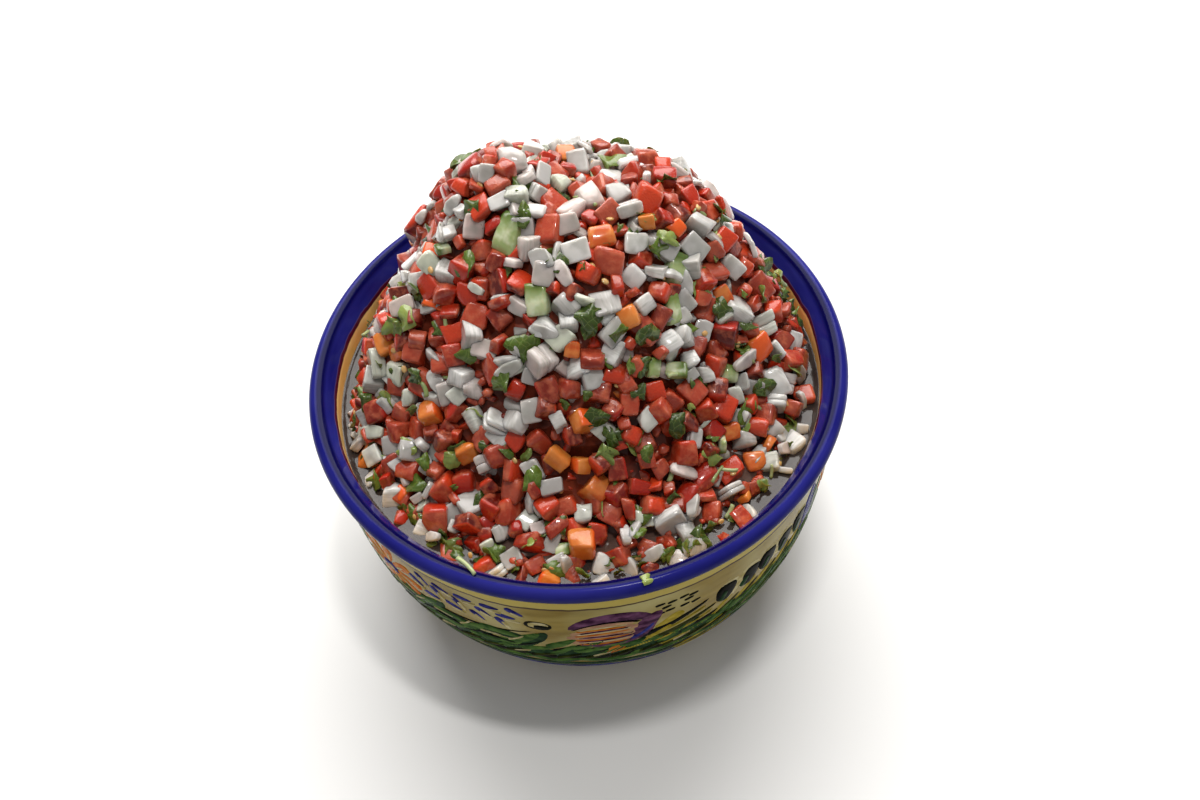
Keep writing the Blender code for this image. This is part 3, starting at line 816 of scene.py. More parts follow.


# The main pieces by kind, as read from the photo: pixel across, pixel down, length and width in mm
SEEN = {
    "onion": [
        (517, 149, 10, 9), (582, 156, 9, 7), (591, 187, 11, 8), (618, 182, 8, 7), (630, 204, 10, 5),
        (565, 218, 8, 7), (468, 226, 9, 7), (639, 242, 9, 8), (575, 247, 9, 8), (539, 256, 9, 7),
        (541, 274, 8, 7), (672, 249, 8, 7), (699, 247, 9, 7), (739, 264, 9, 7), (398, 306, 9, 6),
        (565, 304, 8, 7), (515, 306, 7, 5), (541, 330, 8, 7), (560, 340, 8, 7), (610, 306, 9, 8),
        (615, 333, 9, 7), (649, 302, 6, 6), (773, 323, 8, 8), (479, 350, 9, 6), (510, 367, 8, 6),
        (592, 378, 8, 7), (757, 386, 8, 6), (362, 417, 7, 7), (387, 445, 8, 7), (422, 465, 6, 4),
        (368, 455, 7, 6), (468, 422, 9, 7), (527, 414, 8, 7), (479, 465, 6, 5), (530, 472, 8, 6),
        (649, 420, 7, 6), (699, 438, 7, 5), (778, 427, 6, 6), (551, 488, 7, 5), (449, 514, 10, 9),
        (422, 526, 6, 6), (499, 532, 6, 6), (582, 515, 6, 6), (640, 519, 7, 4), (655, 520, 7, 4),
        (759, 514, 5, 5), (551, 541, 7, 5), (603, 562, 8, 7), (632, 564, 7, 6), (511, 557, 7, 6),
        (680, 562, 7, 6), (498, 200, 7, 5), (535, 207, 7, 5), (482, 168, 7, 5), (545, 170, 8, 5),
        (690, 300, 8, 6), (706, 330, 7, 6), (600, 428, 8, 6), (740, 395, 6, 5), (452, 395, 7, 6),
    ],
    "tomato": [
        (487, 155, 6, 6), (556, 149, 7, 6), (666, 168, 9, 7), (628, 173, 6, 5), (610, 207, 9, 7),
        (498, 183, 8, 6), (489, 226, 9, 4), (548, 223, 10, 9), (613, 257, 10, 10), (591, 269, 8, 8),
        (477, 249, 7, 7), (730, 237, 8, 7), (768, 285, 10, 8), (427, 220, 8, 7), (422, 249, 9, 8),
        (462, 292, 9, 8), (496, 281, 8, 7), (492, 318, 8, 7), (713, 309, 8, 7), (649, 330, 11, 8),
        (790, 337, 8, 7), (408, 354, 8, 7), (436, 364, 8, 8), (702, 347, 8, 7), (723, 350, 7, 7),
        (616, 374, 9, 7), (548, 393, 9, 7), (511, 391, 7, 6), (398, 412, 6, 6), (448, 410, 8, 7),
        (510, 440, 8, 7), (570, 438, 8, 6), (651, 462, 8, 6), (458, 481, 7, 7), (486, 486, 6, 6),
        (401, 495, 7, 6), (510, 491, 9, 7), (690, 496, 10, 9), (566, 507, 7, 7), (486, 522, 6, 6),
        (611, 514, 8, 7), (597, 534, 7, 7), (716, 510, 8, 7), (740, 515, 7, 7), (628, 541, 6, 6),
        (651, 545, 6, 6), (534, 564, 7, 7), (654, 569, 6, 6), (570, 574, 7, 5), (716, 205, 8, 7),
        (697, 190, 7, 6), (440, 195, 8, 6), (455, 185, 7, 6), (676, 404, 8, 7), (660, 392, 7, 7),
        (632, 405, 7, 6), (640, 490, 7, 7), (618, 470, 7, 6), (665, 470, 7, 6), (570, 290, 6, 6),
    ],
    "orange_tomato": [
        (604, 230, 9, 8), (680, 228, 8, 6), (747, 225, 9, 7), (427, 309, 8, 7), (728, 295, 7, 6),
        (374, 343, 8, 7), (556, 462, 8, 7), (580, 470, 7, 6), (735, 431, 7, 6), (759, 458, 7, 7),
        (570, 350, 7, 6), (398, 492, 5, 5),
    ],
    "chilli": [
        (506, 230, 15, 9), (534, 299, 11, 8), (682, 268, 13, 8), (677, 307, 10, 6), (735, 373, 6, 6),
        (658, 368, 7, 5),
    ],
    "leaf": [
        (608, 161, 11, 9), (471, 205, 8, 6), (447, 215, 9, 6), (393, 323, 10, 8), (517, 350, 13, 10),
        (589, 316, 10, 9), (692, 333, 8, 7), (640, 367, 9, 7), (699, 385, 8, 7), (403, 448, 10, 6),
        (451, 457, 8, 6), (716, 453, 8, 7), (699, 538, 13, 9), (551, 569, 9, 6), (489, 449, 9, 6),
        (603, 452, 10, 6), (435, 330, 7, 5), (463, 350, 9, 8), (700, 290, 8, 7), (640, 395, 7, 5),
        (747, 410, 9, 6), (766, 260, 9, 6), (521, 208, 7, 5), (418, 250, 8, 6), (448, 545, 9, 6),
        (560, 525, 9, 6), (612, 440, 8, 5), (497, 552, 8, 6), (800, 355, 7, 5),
    ],
}


def sight_of(across, down):
    """The way from the camera's eye through a pixel of the photo."""
    return view_turn @ Vector((across - RIM_CENTRE_PIXEL[0], RIM_CENTRE_PIXEL[1] - down, -FOCAL_PIXELS))


def seen_on_heap(across, down):
    """Where the view through a pixel of the photo meets the outer surface of the food."""
    way = sight_of(across, down).normalized()
    for i in range(700):
        point = eye + way * (0.28 + 0.0004 * i)
        if point.z < max(RIM_LEVEL + food_height(point.x, point.y), JUICE_LEVEL + 0.001):
            return point
    return None


def place_seen():
    """The pieces read from the photo, each with its top in the food's outer surface, and the leaves."""
    draw = random.Random(SEED + 9)
    placed = {kind: [] for kind in SEEN}
    for kind, across, down, long, wide in [(kind, *spot) for kind, spots in SEEN.items() for spot in spots]:
        point = seen_on_heap(across, down)
        normal = normal_of(food_height, point, 0.005)
        depth = draw.choice((0.5, 0.6, 0.8, 1.0)) if kind == "onion" else draw.uniform(0.75, 1.05)
        edges = [MM * long, MM * wide, MM * min(long, wide) * depth]
        if kind == "leaf":
            turn = turn_to(normal.lerp(back, 0.3).normalized(), draw, 0.35)
            placed[kind].append((point - normal * 0.0012, turn, (edges[0], edges[1] * 1.2, edges[0])))
            continue
        turn = turn_to(normal.lerp(back, 0.45).normalized(), draw, 0.55)
        if kind == "chilli":
            sight = view_turn @ Vector((draw.uniform(-0.5, 0.5), 1.0, 0.0))
            side = sight.cross(normal).normalized()
            turn = Matrix((normal.cross(side).normalized(), side, normal)).transposed()
        centre = point - normal * (edges[2] * 0.5 + SEEN_SINK)
        reach = math.hypot(centre.x, centre.y)
        limit = SEEN_REACH - edges[1] / 2
        if centre.z < RIM_LEVEL + RIM_ROLL and reach > limit:
            centre.xy = centre.xy * (limit / reach)
        corners = settled(dice_corners(centre, turn, edges, draw, UNEVEN), in_juice=True)
        if corners:
            placed[kind].append((corners, edges))
    return placed


def middle_of(piece):
    return sum(piece[0], Vector()) / 8


def start_filling(draw):
    """Where the smaller pieces start, their sizes, and which of them lie in the ring of juice."""
    start, size, ring = [], [], []
    for _ in range(FILLING_COUNT):
        point, normal = on_dome(draw, 1.27)
        start.append(point + normal * draw.uniform(-0.0025, 0.0036))
        size.append(draw.choice(FILLING_SIZES))
        ring.append(False)
    for _ in range(JUICE_COUNT):
        angle = draw.uniform(-math.pi, math.pi)
        clear = within(angle, OPEN_RIGHT)
        radius = draw.uniform(0.064, 0.0735)
        level = JUICE_LEVEL + draw.uniform(-0.0048, -0.0016 if clear else -0.0002)
        if draw.random() < (0.7 if clear else 0.65 if within(angle, OPEN_FRONT) else 0.25):
            continue
        start.append(Vector((*on_circle(angle, radius), level)))
        size.append(draw.choice(JUICE_SIZES))
        ring.append(True)
    return np.array(start), np.array(size), np.array(ring)


def place_filling(fixed_pieces):
    """Smaller pieces between and under the large ones, and half sunk in the juice."""
    draw = random.Random(SEED + 5)
    first, size, ring = start_filling(draw)
    fixed = np.array([middle_of(piece)[:] for piece in fixed_pieces])
    both_size = np.concatenate([size, [sum(edges) / 3 for _, edges in fixed_pieces]])
    move = first.copy()
    for _ in range(PUSHES):
        apart = move[:, None, :] - np.concatenate([move, fixed])[None, :, :]
        distance = np.sqrt((apart ** 2).sum(2)) + 1e-9
        overlap = np.clip((size[:, None] + both_size[None, :]) * TOUCH_SHARE - distance, 0, None)
        overlap[np.arange(len(move)), np.arange(len(move))] = 0
        move = move + (apart / distance[:, :, None] * overlap[:, :, None]).sum(1) * PUSH_SHARE
        # Each goes back to the layer that it belongs to
        reach = np.sqrt((move[:, :2] ** 2).sum(1))
        limit = np.where(move[:, 2] > 0.086, 0.0740, 0.0752) - size * 0.5
        over = reach > limit
        move[over, :2] *= (limit[over] / reach[over])[:, None]
        move[ring, 2] = first[ring, 2]
        for i in np.nonzero(~ring)[0]:
            level = core_level(move[i, 0], move[i, 1])
            outer = math.hypot(move[i, 0] - FOOT_CENTRE.x, move[i, 1] - FOOT_CENTRE.y) / FOOT_RADIUS
            low = level - 0.0035 if outer < 0.97 else JUICE_LEVEL
            top = RIM_LEVEL + food_height(move[i, 0], move[i, 1]) - 0.0004 - 0.45 * size[i]
            move[i, 2] = min(max(move[i, 2], low), level + 0.0046, max(top, JUICE_LEVEL - 0.0015))
    placed = []
    both = np.concatenate([move, fixed])
    for i, spot in enumerate(move):
        distance = np.sqrt(((both - spot) ** 2).sum(1))
        distance[i] = FAR_AWAY
        crowded = distance < (both_size + size[i]) * CROWDED_SHARE
        crowded[i:len(move)] = False
        angle = math.atan2(spot[1], spot[0])
        sparse = 0.7 if within(angle, OPEN_RIGHT) else 0.45 if within(angle, OPEN_FRONT) else 0.0
        outermost = math.hypot(spot[0], spot[1]) > 0.0665
        if crowded.any() or outermost and draw.random() < sparse:
            both[i] = FAR_AWAY
            continue
        edges = [size[i] * draw.uniform(0.85, 1.15) for _ in range(3)]
        if draw.random() < 0.5:
            edges[2] *= SLAB_THICKNESS
        corners = dice_corners(Vector(spot), random_turn(draw), edges, draw, UNEVEN)
        corners = settled(corners, in_juice=True)
        if corners:
            placed.append((corners, edges))
    return placed


def wall_limit(point):
    """How high food may stand near the wall: except at the back, the heap meets it at the juice."""
    angle = math.atan2(point.y, point.x)
    if within(angle, (OPEN_RIGHT[1], LEFT_SLOPE_FROM)):
        return FAR_AWAY
    at_left = angle > LEFT_SLOPE_FROM or angle < LEFT_SLOPE_TO
    foot = LEFT_FOOT if at_left else RIGHT_FOOT
    rise = BACK_RISE * smooth(LEFT_SLOPE_FULL, LEFT_SLOPE_FROM, angle) if angle > LEFT_SLOPE_FROM else 0.0
    return WALL_LEVEL + rise + max(foot - math.hypot(point.x, point.y), 0.0) * WALL_SLOPE


def lowered(pieces):
    """Lets pieces that stand too high at the wall down, and leaves out those that stand far too high."""
    kept = []
    for corners, edges in pieces:
        drop = max(corner.z - wall_limit(corner) for corner in corners)
        if drop <= MOST_DROP:
            kept.append(([corner - Vector((0, 0, max(drop, 0.0))) for corner in corners], edges))
    return kept


def fill_holes(pieces):
    """Pieces set a little deeper wherever nothing lies yet."""
    draw = random.Random(SEED + 6)
    centres = np.array([middle_of(piece)[:] for piece in pieces])
    placed = []
    for _ in range(HOLE_TRIES):
        point, normal = on_dome(draw, 1.02)
        spot = point + normal * draw.uniform(0.0005, 0.0022)
        if np.sqrt(((centres - np.array(spot)) ** 2).sum(1)).min() > HOLE_SIZE:
            size = draw.uniform(0.0058, 0.0082)
            edges = [size * draw.uniform(0.85, 1.1) for _ in range(3)]
            placed.append((dice_corners(spot, random_turn(draw), edges, draw, UNEVEN), edges))
            centres = np.append(centres, [spot[:]], 0)
    return placed


seen_pieces = place_seen()
seen_dice = [piece for kind, found in seen_pieces.items() if kind != "leaf" for piece in found]
large_pieces = []
for piece in place_large():
    gaps = [(middle_of(piece) - middle_of(other)).length - sum(other[1]) / 6 for other in seen_dice]
    if min(gaps) > 0.0026:
        large_pieces.append(piece)
large_pieces = lowered(large_pieces)
filling = lowered(place_filling(seen_dice + large_pieces))
filling += lowered(fill_holes(seen_dice + large_pieces + filling))

# Sorting the pieces
# Onion and tomato make up nearly all of the salad, with a little orange tomato and green chilli.
# Some places have more of one kind, as in the photo. Every piece is cut by hand and a little uneven.

# Kind, across, to the back, radius and share of each place
RICH_PLACES = [
    ("onion", 0.010, 0.048, 0.016, 0.6),
    ("tomato", 0.045, 0.020, 0.016, 0.6),
    ("tomato", 0.022, -0.040, 0.016, 0.7),
    ("tomato", -0.030, 0.050, 0.012, 0.6),
    ("onion", -0.050, 0.020, 0.012, 0.2),
    ("tomato", -0.040, -0.045, 0.020, 0.35),
]
KINDS = ("tomato", "orange_tomato", "chilli")
FLAT_LIMITS = (0.55, 0.59, 0.63)
THICK_LIMITS = (0.67, 0.72, 0.75)
LARGEST_CHILLI = 0.0078


def kind_of(piece, draw):
    middle = middle_of(piece)
    edges = piece[1]
    chance = draw.random()
    limits = FLAT_LIMITS if edges[2] < 0.7 * edges[0] else THICK_LIMITS
    kind = next((kind for kind, limit in zip(KINDS, limits) if chance < limit), "onion")
    if kind == "chilli" and max(edges) >= LARGEST_CHILLI:
        kind = "onion"
    for rich, x, y, reach, strength in RICH_PLACES:
        away = math.hypot(middle.x - x, middle.y - y)
        if away < reach and draw.random() < strength:
            kind = rich
    return kind


sorting = random.Random(33)
by_kind = {kind: list(found) for kind, found in seen_pieces.items() if kind != "leaf"}
for piece in large_pieces + filling:
    by_kind[kind_of(piece, sorting)].append(piece)


def chunk_template(seed, rounding, uneven, cuts, curve):
    """A unit cube with rounded edges, shaved by a few slanting knife cuts, bent and roughened."""
    draw = random.Random(seed)
    shape = bmesh.new()
    bmesh.ops.create_cube(shape, size=1.0)
    bmesh.ops.subdivide_edges(shape, edges=shape.edges[:], cuts=3, use_grid_fill=True)
    flat = 0.5 - rounding
    for vertex in shape.verts:
        vertex.co = [math.copysign(flat, c) if 0.2 < abs(c) < 0.3 else c for c in vertex.co]
        inside = Vector([min(max(c, -flat), flat) for c in vertex.co])
        if (vertex.co - inside).length > 0.001:
            vertex.co = inside + (vertex.co - inside).normalized() * rounding
    for _ in range(cuts):
        way = random_way(draw)
        reach = 0.5 * (abs(way.x) + abs(way.y) + abs(way.z)) - draw.uniform(0.14, 0.38)
        for vertex in shape.verts:
            vertex.co -= way * max(way.dot(vertex.co) - reach, 0.0)
    for vertex in shape.verts:
        vertex.co += Vector([draw.uniform(-uneven, uneven) for _ in range(3)])
    bmesh.ops.smooth_vert(shape, verts=shape.verts[:], factor=0.25, use_axis_x=True, use_axis_y=True,
                          use_axis_z=True)
    bow = draw.uniform(0.3, 1.0) * curve
    for vertex in shape.verts:
        vertex.co.z -= bow * (vertex.co.x ** 2 + 0.3 * vertex.co.y ** 2 - 0.1)
    return arrays_of(shape)


def layered_template(seed, layers):
    """Two or three bent leaves of onion that lie on each other and spread a little like a fan."""
    draw = random.Random(seed)
    all_vertices, all_faces = [], []
    total = 0
    fan = draw.uniform(0.0, 0.08)
    for layer in range(layers):
        vertices, faces = chunk_template(seed + 40 * layer, 0.16, 0.015, 0, 0.5)
        x, y, z = vertices.T
        level = (layer + 0.5) / layers - 0.5
        z = z * 1.02 / layers + level * (1 + fan * 3 * (x + 0.5))
        x = x * (1 - 0.06 * layer) + draw.uniform(-0.06, 0.06)
        all_vertices.append(np.stack([x, y * (1 - 0.05 * layer), z], 1))
        all_faces += [[total + i for i in face] for face in faces]
        total += len(vertices)
    return np.concatenate(all_vertices), all_faces


def joined(name, parts, look):
    """One piece from the placed copies of one kind: (vertices, faces, own coordinates, tint) of each."""
    faces = []
    total = 0
    for spots, shape_faces, _, _ in parts:
        spots[:, 2] -= max(spots[:, 2].max() - cad_box[1].z + 0.0001, 0.0)
        faces += [[total + i for i in face] for face in shape_faces]
        total += len(spots)
    vertices, own_places, tints = [np.concatenate([part[i] for part in parts]) for i in (0, 2, 3)]
    mesh = bpy.data.meshes.new(name)
    mesh.from_pydata(vertices.tolist(), [], faces)
    mesh.attributes.new("own_place", "FLOAT_VECTOR", "POINT").data.foreach_set("vector", own_places.ravel())
    mesh.attributes.new("tint", "FLOAT_COLOR", "POINT").data.foreach_set("color", tints.ravel())
    shaded(linked(name, mesh), look)


def tinted(draw, count, third):
    """Two random tones for a whole piece, and a third value that runs over it."""
    return np.stack([np.full(count, draw.random()), np.full(count, draw.random()), third, np.ones(count)], 1)


def heaped(name, placed, templates, look, seed, free=True):
    """Stretches a template between the eight corners of each piece; a free one may lie on any side."""
    draw = random.Random(seed)
    parts = []
    for corners, edges in placed:
        shape, faces = draw.choice(templates)
        flat = edges[2] < 0.75 * edges[0] or not free
        order = [0, 1, 2] if flat else draw.sample([0, 1, 2], 3)
        signs = np.array([draw.choice((-1, 1)) if free else 1 for _ in range(3)])
        turned = shape[:, order] * signs
        swapped = order in ([0, 2, 1], [1, 0, 2], [2, 1, 0])
        if swapped != (signs.prod() < 0):
            faces = [face[::-1] for face in faces]
        share = np.stack([0.5 - turned, 0.5 + turned], 2)
        spots = np.zeros_like(shape)
        for index, corner in enumerate(corners):
            weight = share[:, 0, index // 4] * share[:, 1, index // 2 % 2] * share[:, 2, index % 2]
            spots += weight[:, None] * np.array(corner)
        own = shape * np.array([edges[i] for i in order]) + np.array([draw.uniform(0, 1) for _ in range(3)])
        across = np.clip(shape[:, 2 if free else 0] + 0.5, 0, 1)
        parts.append((spots, faces, own, tinted(draw, len(shape), across)))
    joined(name, parts, look)


def vegetable(name, roughness, glow, depth, **constants):
    """A wet vegetable's look, with its two random tones and the value that runs over each piece."""
    look = Look(name, own_place="own_place", Roughness=roughness, Coat_Weight=0.8, Coat_Roughness=0.07,
                Specular_IOR_Level=0.2, Coat_IOR=1.36, Subsurface_Weight=glow,
                Subsurface_Scale=depth, **constants)
    tint = look.add("Attribute", attribute_name="tint").outputs["Color"]
    return look, look.add("SeparateColor", tint).outputs

# Diced tomato
# Ripe plum tomato cut into rough cubes. One face is smooth skin; the others are wet, grainy flesh
# that pales towards the core, some a dark red and some a dull pink.

tomato, tint = vegetable("Red tomato", 0.28, 0.35, 0.0016, Subsurface_Radius=(1.0, 0.4, 0.25))
mottle = tomato.noise(330.0, 4.0)
flesh = tomato.mix(tint[0], "#761A0D", "#B03A1E")
flesh = tomato.mix(tomato.share(tint[1], 0.70, 0.95, 0.8), flesh, "#A04A34")
flesh = tomato.mix(tomato.share(tint[1], 0.30, 0.08), flesh, "#5A1007")
flesh = tomato.mix(tomato.share(mottle, 0.45, 0.66, 0.65), flesh, "#C66A4A")
flesh = tomato.mix(tomato.share(tint[2], 0.35, 0.0, 0.45), flesh, "#A84A34")
skin = tomato.mix(tint[0], "#98190B", "#C43E1C")
tomato.colour(tomato.mix(tomato.share(tint[2], 0.80, 0.93), flesh, skin))
tomato.bump(0.4, 0.0007, tomato.math("MULTIPLY_ADD", tomato.noise(1500.0), 0.5, mottle))
tomato_shapes = [chunk_template(seed, 0.12 + 0.025 * (seed % 3), 0.026, 2 + seed % 3, 0.15)
                 for seed in range(14)]
heaped("tomato_dice", by_kind["tomato"], tomato_shapes, tomato, 51)

# Diced orange tomato
# The same cut from less ripe fruit: orange flesh that passes to yellow near the shoulder.

look, tint = vegetable("Orange tomato", 0.26, 0.2, 0.0012, Subsurface_Radius=(1.0, 0.5, 0.25))
mottle = look.noise(260.0, 3.0)
flesh = look.mix(tint[0], "#B8481A", "#C9742C")
flesh = look.mix(look.share(mottle, 0.4, 0.65, 0.6), flesh, "#D68A45")
look.colour(look.mix(look.share(tint[2], 0.86, 0.95), flesh, "#D2541C"))
look.bump(0.35, 0.0006, mottle)
heaped("orange_tomato_dice", by_kind["orange_tomato"], tomato_shapes, look, 52)

# Diced onion
# White onion. Each piece is one or two curved leaves of the bulb: satiny on top, with fine lines
# along its cut sides, and letting light through at its edges.

onion, tint = vegetable("White onion", 0.2, 0.7, 0.0030, Subsurface_Radius=(1.0, 0.93, 0.85))
lines = onion.noise(1.0, 3.0, onion.stretched(160.0, 160.0, 1300.0))
body = onion.mix(tint[0], "#DDDCD9", "#B8B4B0")
body = onion.mix(onion.share(tint[2], 0.55, 0.05, 0.55), body, "#8F8A88")
body = onion.mix(onion.share(tint[1], 0.80, 1.0, 0.6), body, "#CFB0A8")
body = onion.mix(onion.share(tint[1], 0.20, 0.02, 0.6), body, "#C9D2B4")
body = onion.mix(onion.share(onion.noise(210.0, 1.0), 0.45, 0.7, 0.5), body, "#958F89")
onion.colour(onion.mix(onion.share(lines, 0.42, 0.7), body, onion.mix(0.5, body, "#878A80")))
onion.bump(0.25, 0.0006, lines)
onion_shapes = [chunk_template(seed, 0.09 + 0.02 * (seed % 3), 0.022, 1 + seed % 3, 0.5)
                for seed in range(20, 32)]
onion_shapes += [layered_template(seed, 2) for seed in range(30, 33)]
heaped("onion_dice", by_kind["onion"], onion_shapes, onion, 53)

# Chopped green chilli
# Jalapeno wall: glossy green skin on one face, pale green to white flesh on the others.

look, tint = vegetable("Green chilli", 0.2, 0.25, 0.0015)
flesh = look.mix(tint[1], "#8A9C5C", "#B4BC94")
flesh = look.mix(look.share(look.noise(240.0), 0.42, 0.66), flesh, "#C6CCAA")
look.colour(look.mix(look.share(tint[2], 0.45, 0.80), flesh, look.mix(tint[0], "#485C26", "#66793A")))
chilli_shapes = [chunk_template(seed, 0.14, 0.02, 1, 0.6) for seed in range(50, 56)]
heaped("chilli_pieces", by_kind["chilli"], chilli_shapes, look, 54, free=False)

# Coriander leaves
# Fresh leaves torn and chopped: thin, wavy, lobed blades with paler veins, from a whole leaflet to a
# fleck, that lie on the dice or stick in between them. A few float in the juice.

LEAF_POINTS = 20
RIM_TOP = RIM_LEVEL + RIM_ROLL
UPWARD = Vector((0, 0, 1))


def leaf_template(seed, lobes, depth):
    """A thin wavy blade of unit length with lobed edges, closed on both faces."""
    draw = random.Random(seed)
    shape = bmesh.new()
    bmesh.ops.create_circle(shape, cap_ends=True, cap_tris=False, segments=LEAF_POINTS, radius=1.0)
    bmesh.ops.inset_region(shape, faces=shape.faces[:], thickness=0.4)
    bmesh.ops.poke(shape, faces=[face for face in shape.faces if len(face.verts) > 4])
    phase = draw.uniform(0, math.pi)
    twist = draw.uniform(-0.5, 0.5)
    bow = draw.uniform(-0.15, 0.45)
    torn = draw.uniform(0.1, 0.5)
    for vertex in shape.verts:
        radius = math.hypot(vertex.co.x, vertex.co.y)
        angle = math.atan2(vertex.co.y, vertex.co.x)
        lobed = 1 + depth * math.cos(lobes * angle + phase) * radius + draw.uniform(-0.10, 0.10) * radius
        x = max(0.5 * radius * lobed * math.cos(angle), -torn)
        y = 0.36 * radius * lobed * math.sin(angle)
        fold = 0.25 * abs(y) + 0.10 * math.sin(3 * angle + phase) * radius + twist * x * y
        vertex.co = (x, y, fold - bow * x * x)
    grown = bmesh.ops.extrude_face_region(shape, geom=shape.faces[:], use_keep_orig=True)
    raised = [item for item in grown["geom"] if isinstance(item, bmesh.types.BMVert)]
    bmesh.ops.translate(shape, verts=raised, vec=(0, 0, 0.03))
    bmesh.ops.recalc_face_normals(shape, faces=shape.faces)
    return arrays_of(shape)


def strewn(name, placed, templates, look, seed):
    """Small things of one kind: each a template at a centre, with a turn and a size along each axis."""
    draw = random.Random(seed)
    parts = []
    for centre, turn, scale in placed:
        shape, faces = draw.choice(templates)
        scaled = shape * np.array(scale)
        own = scaled + np.array([draw.uniform(0, 1) for _ in range(3)])
        tint = tinted(draw, len(shape), np.clip(np.abs(shape[:, 0]) * 2, 0, 1))
        parts.append((scaled @ np.array(turn).T + np.array(centre), faces, own, tint))
    joined(name, parts, look)


def place_leaves():
    """The leaves of the solid, where they lie there."""
    draw = random.Random(SEED + 1)
    centres = []
    placed = []
    for _ in range(LEAF_TRIES):
        point, normal = on_dome(draw, 0.97)
        centre = point + normal * LEAF_LIFT
        turn = turn_to(normal, draw, LEAF_LEAN)
        if any((centre - other).length < LEAF_SPACING for other in centres):
            continue
        centres.append(centre)
        if math.hypot(centre.x, centre.y) < 0.066:
            placed.append((centre, turn, (LEAF_LENGTH * 0.8,) * 3))
    return placed


def surface_spots(count, draw, low, high, part_limit=1.2):
    """Places on the food's outer surface, between two heights over the core, each with its normal."""
    spots = []
    while len(spots) < count:
        point, normal = on_dome(draw, part_limit)
        spot = point + normal * draw.uniform(low, high)
        if math.hypot(spot.x, spot.y) < 0.0725 and spot.z < wall_limit(spot):
            spots.append((spot, normal))
    return spots


def afloat(count, draw, longest):
    """Places in the juice's surface between the heap and the wall, with a length for each."""
    spots = []
    for _ in range(count):
        way = on_circle(draw.uniform(0, 2 * math.pi))
        spot = Vector((*way * draw.uniform(0.066, 0.0725), JUICE_LEVEL + 0.0002))
        spots.append((spot, draw.uniform(0.4, 1.0) * longest))
    return spots


def seen_on_level(across, down, level):
    """Where the view through a pixel of the photo meets a level plane."""
    way = sight_of(across, down)
    return eye + way * ((level - eye.z) / way.z)


scatter = random.Random(77)
leaves = seen_pieces["leaf"] + place_leaves()
for centre, normal in surface_spots(190, scatter, 0.0016, 0.0060):
    length = scatter.uniform(0.0034, 0.0088)
    turn = turn_to(normal, scatter, 0.9)
    leaves.append((centre, turn, (length, length * scatter.uniform(0.5, 1.0), length)))
for spot, length in afloat(22, scatter, 0.008):
    leaves.append((spot, turn_to(UPWARD, scatter, 0.1), (length, length * 0.8, length * 0.4)))
leaves.append((seen_on_level(644, 581, RIM_TOP), Matrix.Rotation(0.3, 3, "Z"), (0.0050, 0.0045, 0.0050)))
leaves.append((seen_on_level(457, 556, RIM_TOP), Matrix.Rotation(-0.9, 3, "Z"), (0.0060, 0.0040, 0.0050)))

look, tint = vegetable("Coriander leaf", 0.34, 0.15, 0.0008)
green = look.mix(tint[0], "#2F4013", "#566C22")
green = look.mix(look.share(tint[1], 0.70, 0.95), green, "#84934A")
veins = look.add("TexVoronoi", Vector=look.place, Scale=420.0, feature="DISTANCE_TO_EDGE").outputs[0]
look.colour(look.mix(look.share(veins, 0.07, 0.01, 0.28), green, "#8C9C58"))
look.bump(0.5, 0.0005, veins)
leaf_shapes = [leaf_template(seed, 2 + seed % 3, 0.14 + 0.05 * (seed % 3)) for seed in range(12)]
strewn("coriander_leaves", leaves, leaf_shapes, look, 61)

# Coriander stems
# Thin, tender stems cut across, paler than the leaves. One lies on the front of the rim.


def stem_template(seed):
    """A slightly bent round stem of unit length, cut off square at both ends."""
    draw = random.Random(seed)
    shape = bmesh.new()
    bmesh.ops.create_cone(shape, cap_ends=True, segments=8, radius1=0.5, radius2=0.42, depth=1.0,
                          matrix=Matrix.Rotation(math.pi / 2, 4, "Y"))
    long_edges = [edge for edge in shape.edges if abs(edge.verts[0].co.x - edge.verts[1].co.x) > 0.5]
    bmesh.ops.subdivide_edges(shape, edges=long_edges, cuts=4)
    sag = draw.uniform(-0.5, 0.5)
    for vertex in shape.verts:
        vertex.co.y += sag * (vertex.co.x ** 2 - 0.25) * 3
    bmesh.ops.recalc_face_normals(shape, faces=shape.faces)
    return arrays_of(shape)


stems = []
for centre, normal in surface_spots(32, scatter, 0.0024, 0.0056, 1.05):
    length = scatter.uniform(0.0025, 0.0065)
    thick = scatter.uniform(0.0011, 0.0018)
    stems.append((centre, turn_to(normal, scatter, 0.6), (length, thick, thick)))
rim_spot = seen_on_level(466, 566, RIM_TOP + 0.0004)
stems.append((rim_spot, Matrix.Rotation(-0.9, 3, "Z"), (0.0075, 0.0014, 0.0014)))
look, tint = vegetable("Coriander stem", 0.3, 0.2, 0.001)
look.colour(look.mix(tint[0], "#74864A", "#AAB484"))
strewn("coriander_stems", stems, [stem_template(seed) for seed in range(4)], look, 62)

# Onion slivers
# Thin curved chips and shavings that split off when the onion is diced.


def sliver_template(seed):
    """A thin bent chip of unit length that narrows towards its ends."""
    draw = random.Random(seed)
    vertices, faces = chunk_template(seed, 0.14, 0.03, 0, 0.0)
    x, y, z = vertices.T
    pinch = 1 - (2 * x) ** 2 * draw.uniform(0.3, 0.6)
    return np.stack([x, y * pinch, z - draw.uniform(1.0, 2.2) * (x ** 2 - 0.1)], 1), faces


slivers = []
for centre, normal in surface_spots(85, scatter, 0.0016, 0.0054):
    length = scatter.uniform(0.0055, 0.0100)
    slivers.append((centre, turn_to(normal, scatter, 1.0), (length, length * 0.5, 0.0017)))
strewn("onion_slivers", slivers, [sliver_template(seed) for seed in range(8)], onion, 63)

# Pulp
# Soft shreds of tomato flesh that came off the dice and fill the gaps between them.

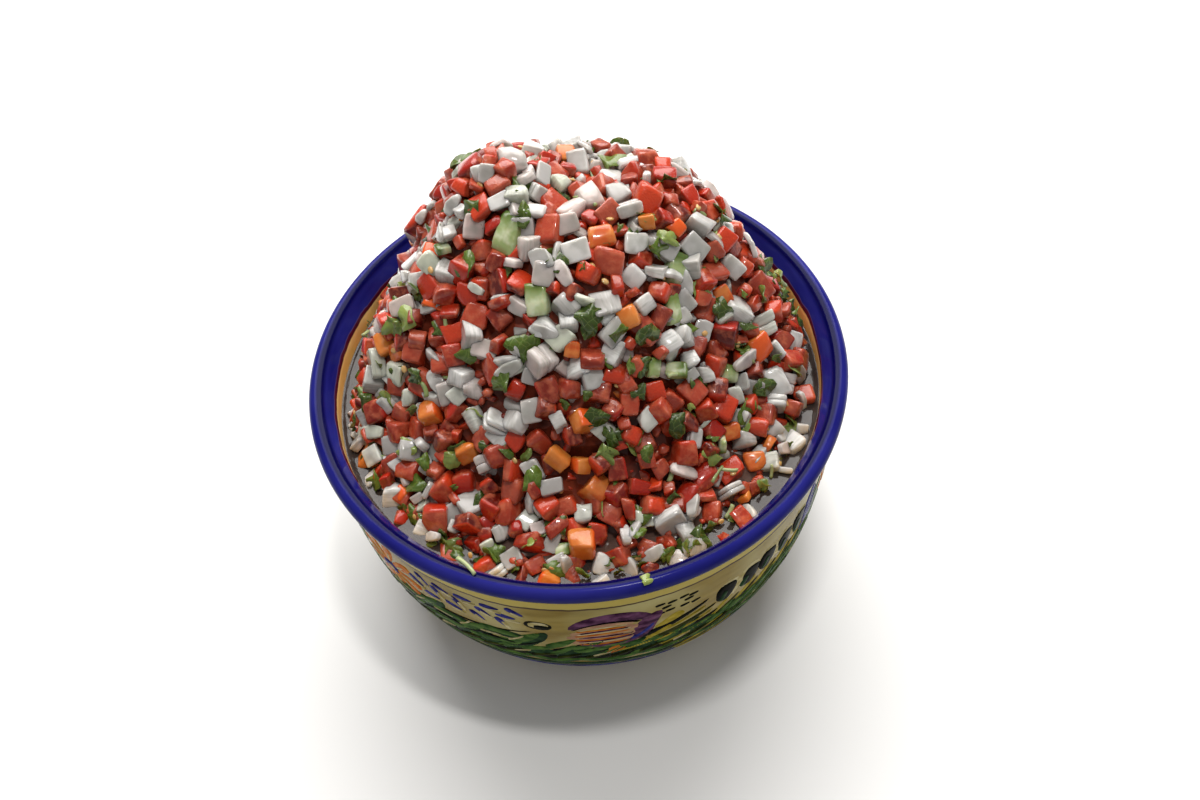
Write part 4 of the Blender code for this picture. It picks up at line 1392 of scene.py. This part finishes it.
pulp_bits = []
for centre, normal in surface_spots(520, scatter, -0.0008, 0.0026):
    length = scatter.uniform(0.0022, 0.0048)
    pulp_bits.append((centre, random_turn(scatter), (length, length * 0.8, length * 0.6)))
for spot, length in afloat(24, scatter, 0.0035):
    pulp_bits.append((spot - UPWARD * 0.0006, random_turn(scatter), (length, length * 0.7, length * 0.5)))
pulp_shape = bmesh.new()
bmesh.ops.create_icosphere(pulp_shape, subdivisions=1, radius=0.5)
strewn("tomato_pulp", pulp_bits, [arrays_of(pulp_shape)], tomato, 65)

# Tomato seeds
# Flat, pale yellow seeds that washed out of the cut tomato.

spots = surface_spots(80, scatter, 0.0026, 0.0052)
seeds = [(centre, turn_to(normal, scatter, 0.5), (0.0026, 0.0019, 0.0008)) for centre, normal in spots]
seed_shape = bmesh.new()
bmesh.ops.create_uvsphere(seed_shape, u_segments=8, v_segments=5, radius=0.5)
look, tint = vegetable("Tomato seed", 0.25, 0.2, 0.001)
look.colour(look.mix(tint[0], "#CDAE74", "#B98E55"))
strewn("tomato_seeds", seeds, [arrays_of(seed_shape)], look, 64)

# The floor and the light
# A plain pale table top under soft daylight from a large window above and behind, so that the top of
# the heap is bright and its front, like the bowl's, lies in soft shade.

bpy.ops.mesh.primitive_plane_add(size=6.0, location=(0, 0, -0.0004))
floor = bpy.context.object
floor.name = "floor"
look = Look("Pale table", Roughness=0.6)
look.colour((0.80, 0.80, 0.80, 1.0))
floor.data.materials.append(look.material)

world = bpy.data.worlds.new("Room")
world.use_nodes = True
world.node_tree.nodes["Background"].inputs[0].default_value = (1.0, 0.99, 0.97, 1.0)
world.node_tree.nodes["Background"].inputs[1].default_value = 0.37
bpy.context.scene.world = world

# Place, width and depth in metres, and power in watts of the two lights, which point at the bowl's rim
AIM = Vector((0, 0, 0.08))
LIGHTS = {
    "window": ((0.05, 0.97, 1.10), (1.7, 1.1), 40.0),
    "lamp": ((0.10, -0.05, 1.2), (0.06, 0.18), 4.5),
}
for name, (place, size, power) in LIGHTS.items():
    lamp = bpy.data.lights.new(name, "AREA")
    lamp.shape = "RECTANGLE"
    lamp.size, lamp.size_y = size
    lamp.energy = power
    lamp.color = (1.0, 0.98, 0.95)
    light = linked(name, lamp)
    light.location = place
    light.rotation_euler = (AIM - Vector(place)).to_track_quat("-Z", "Y").to_euler()
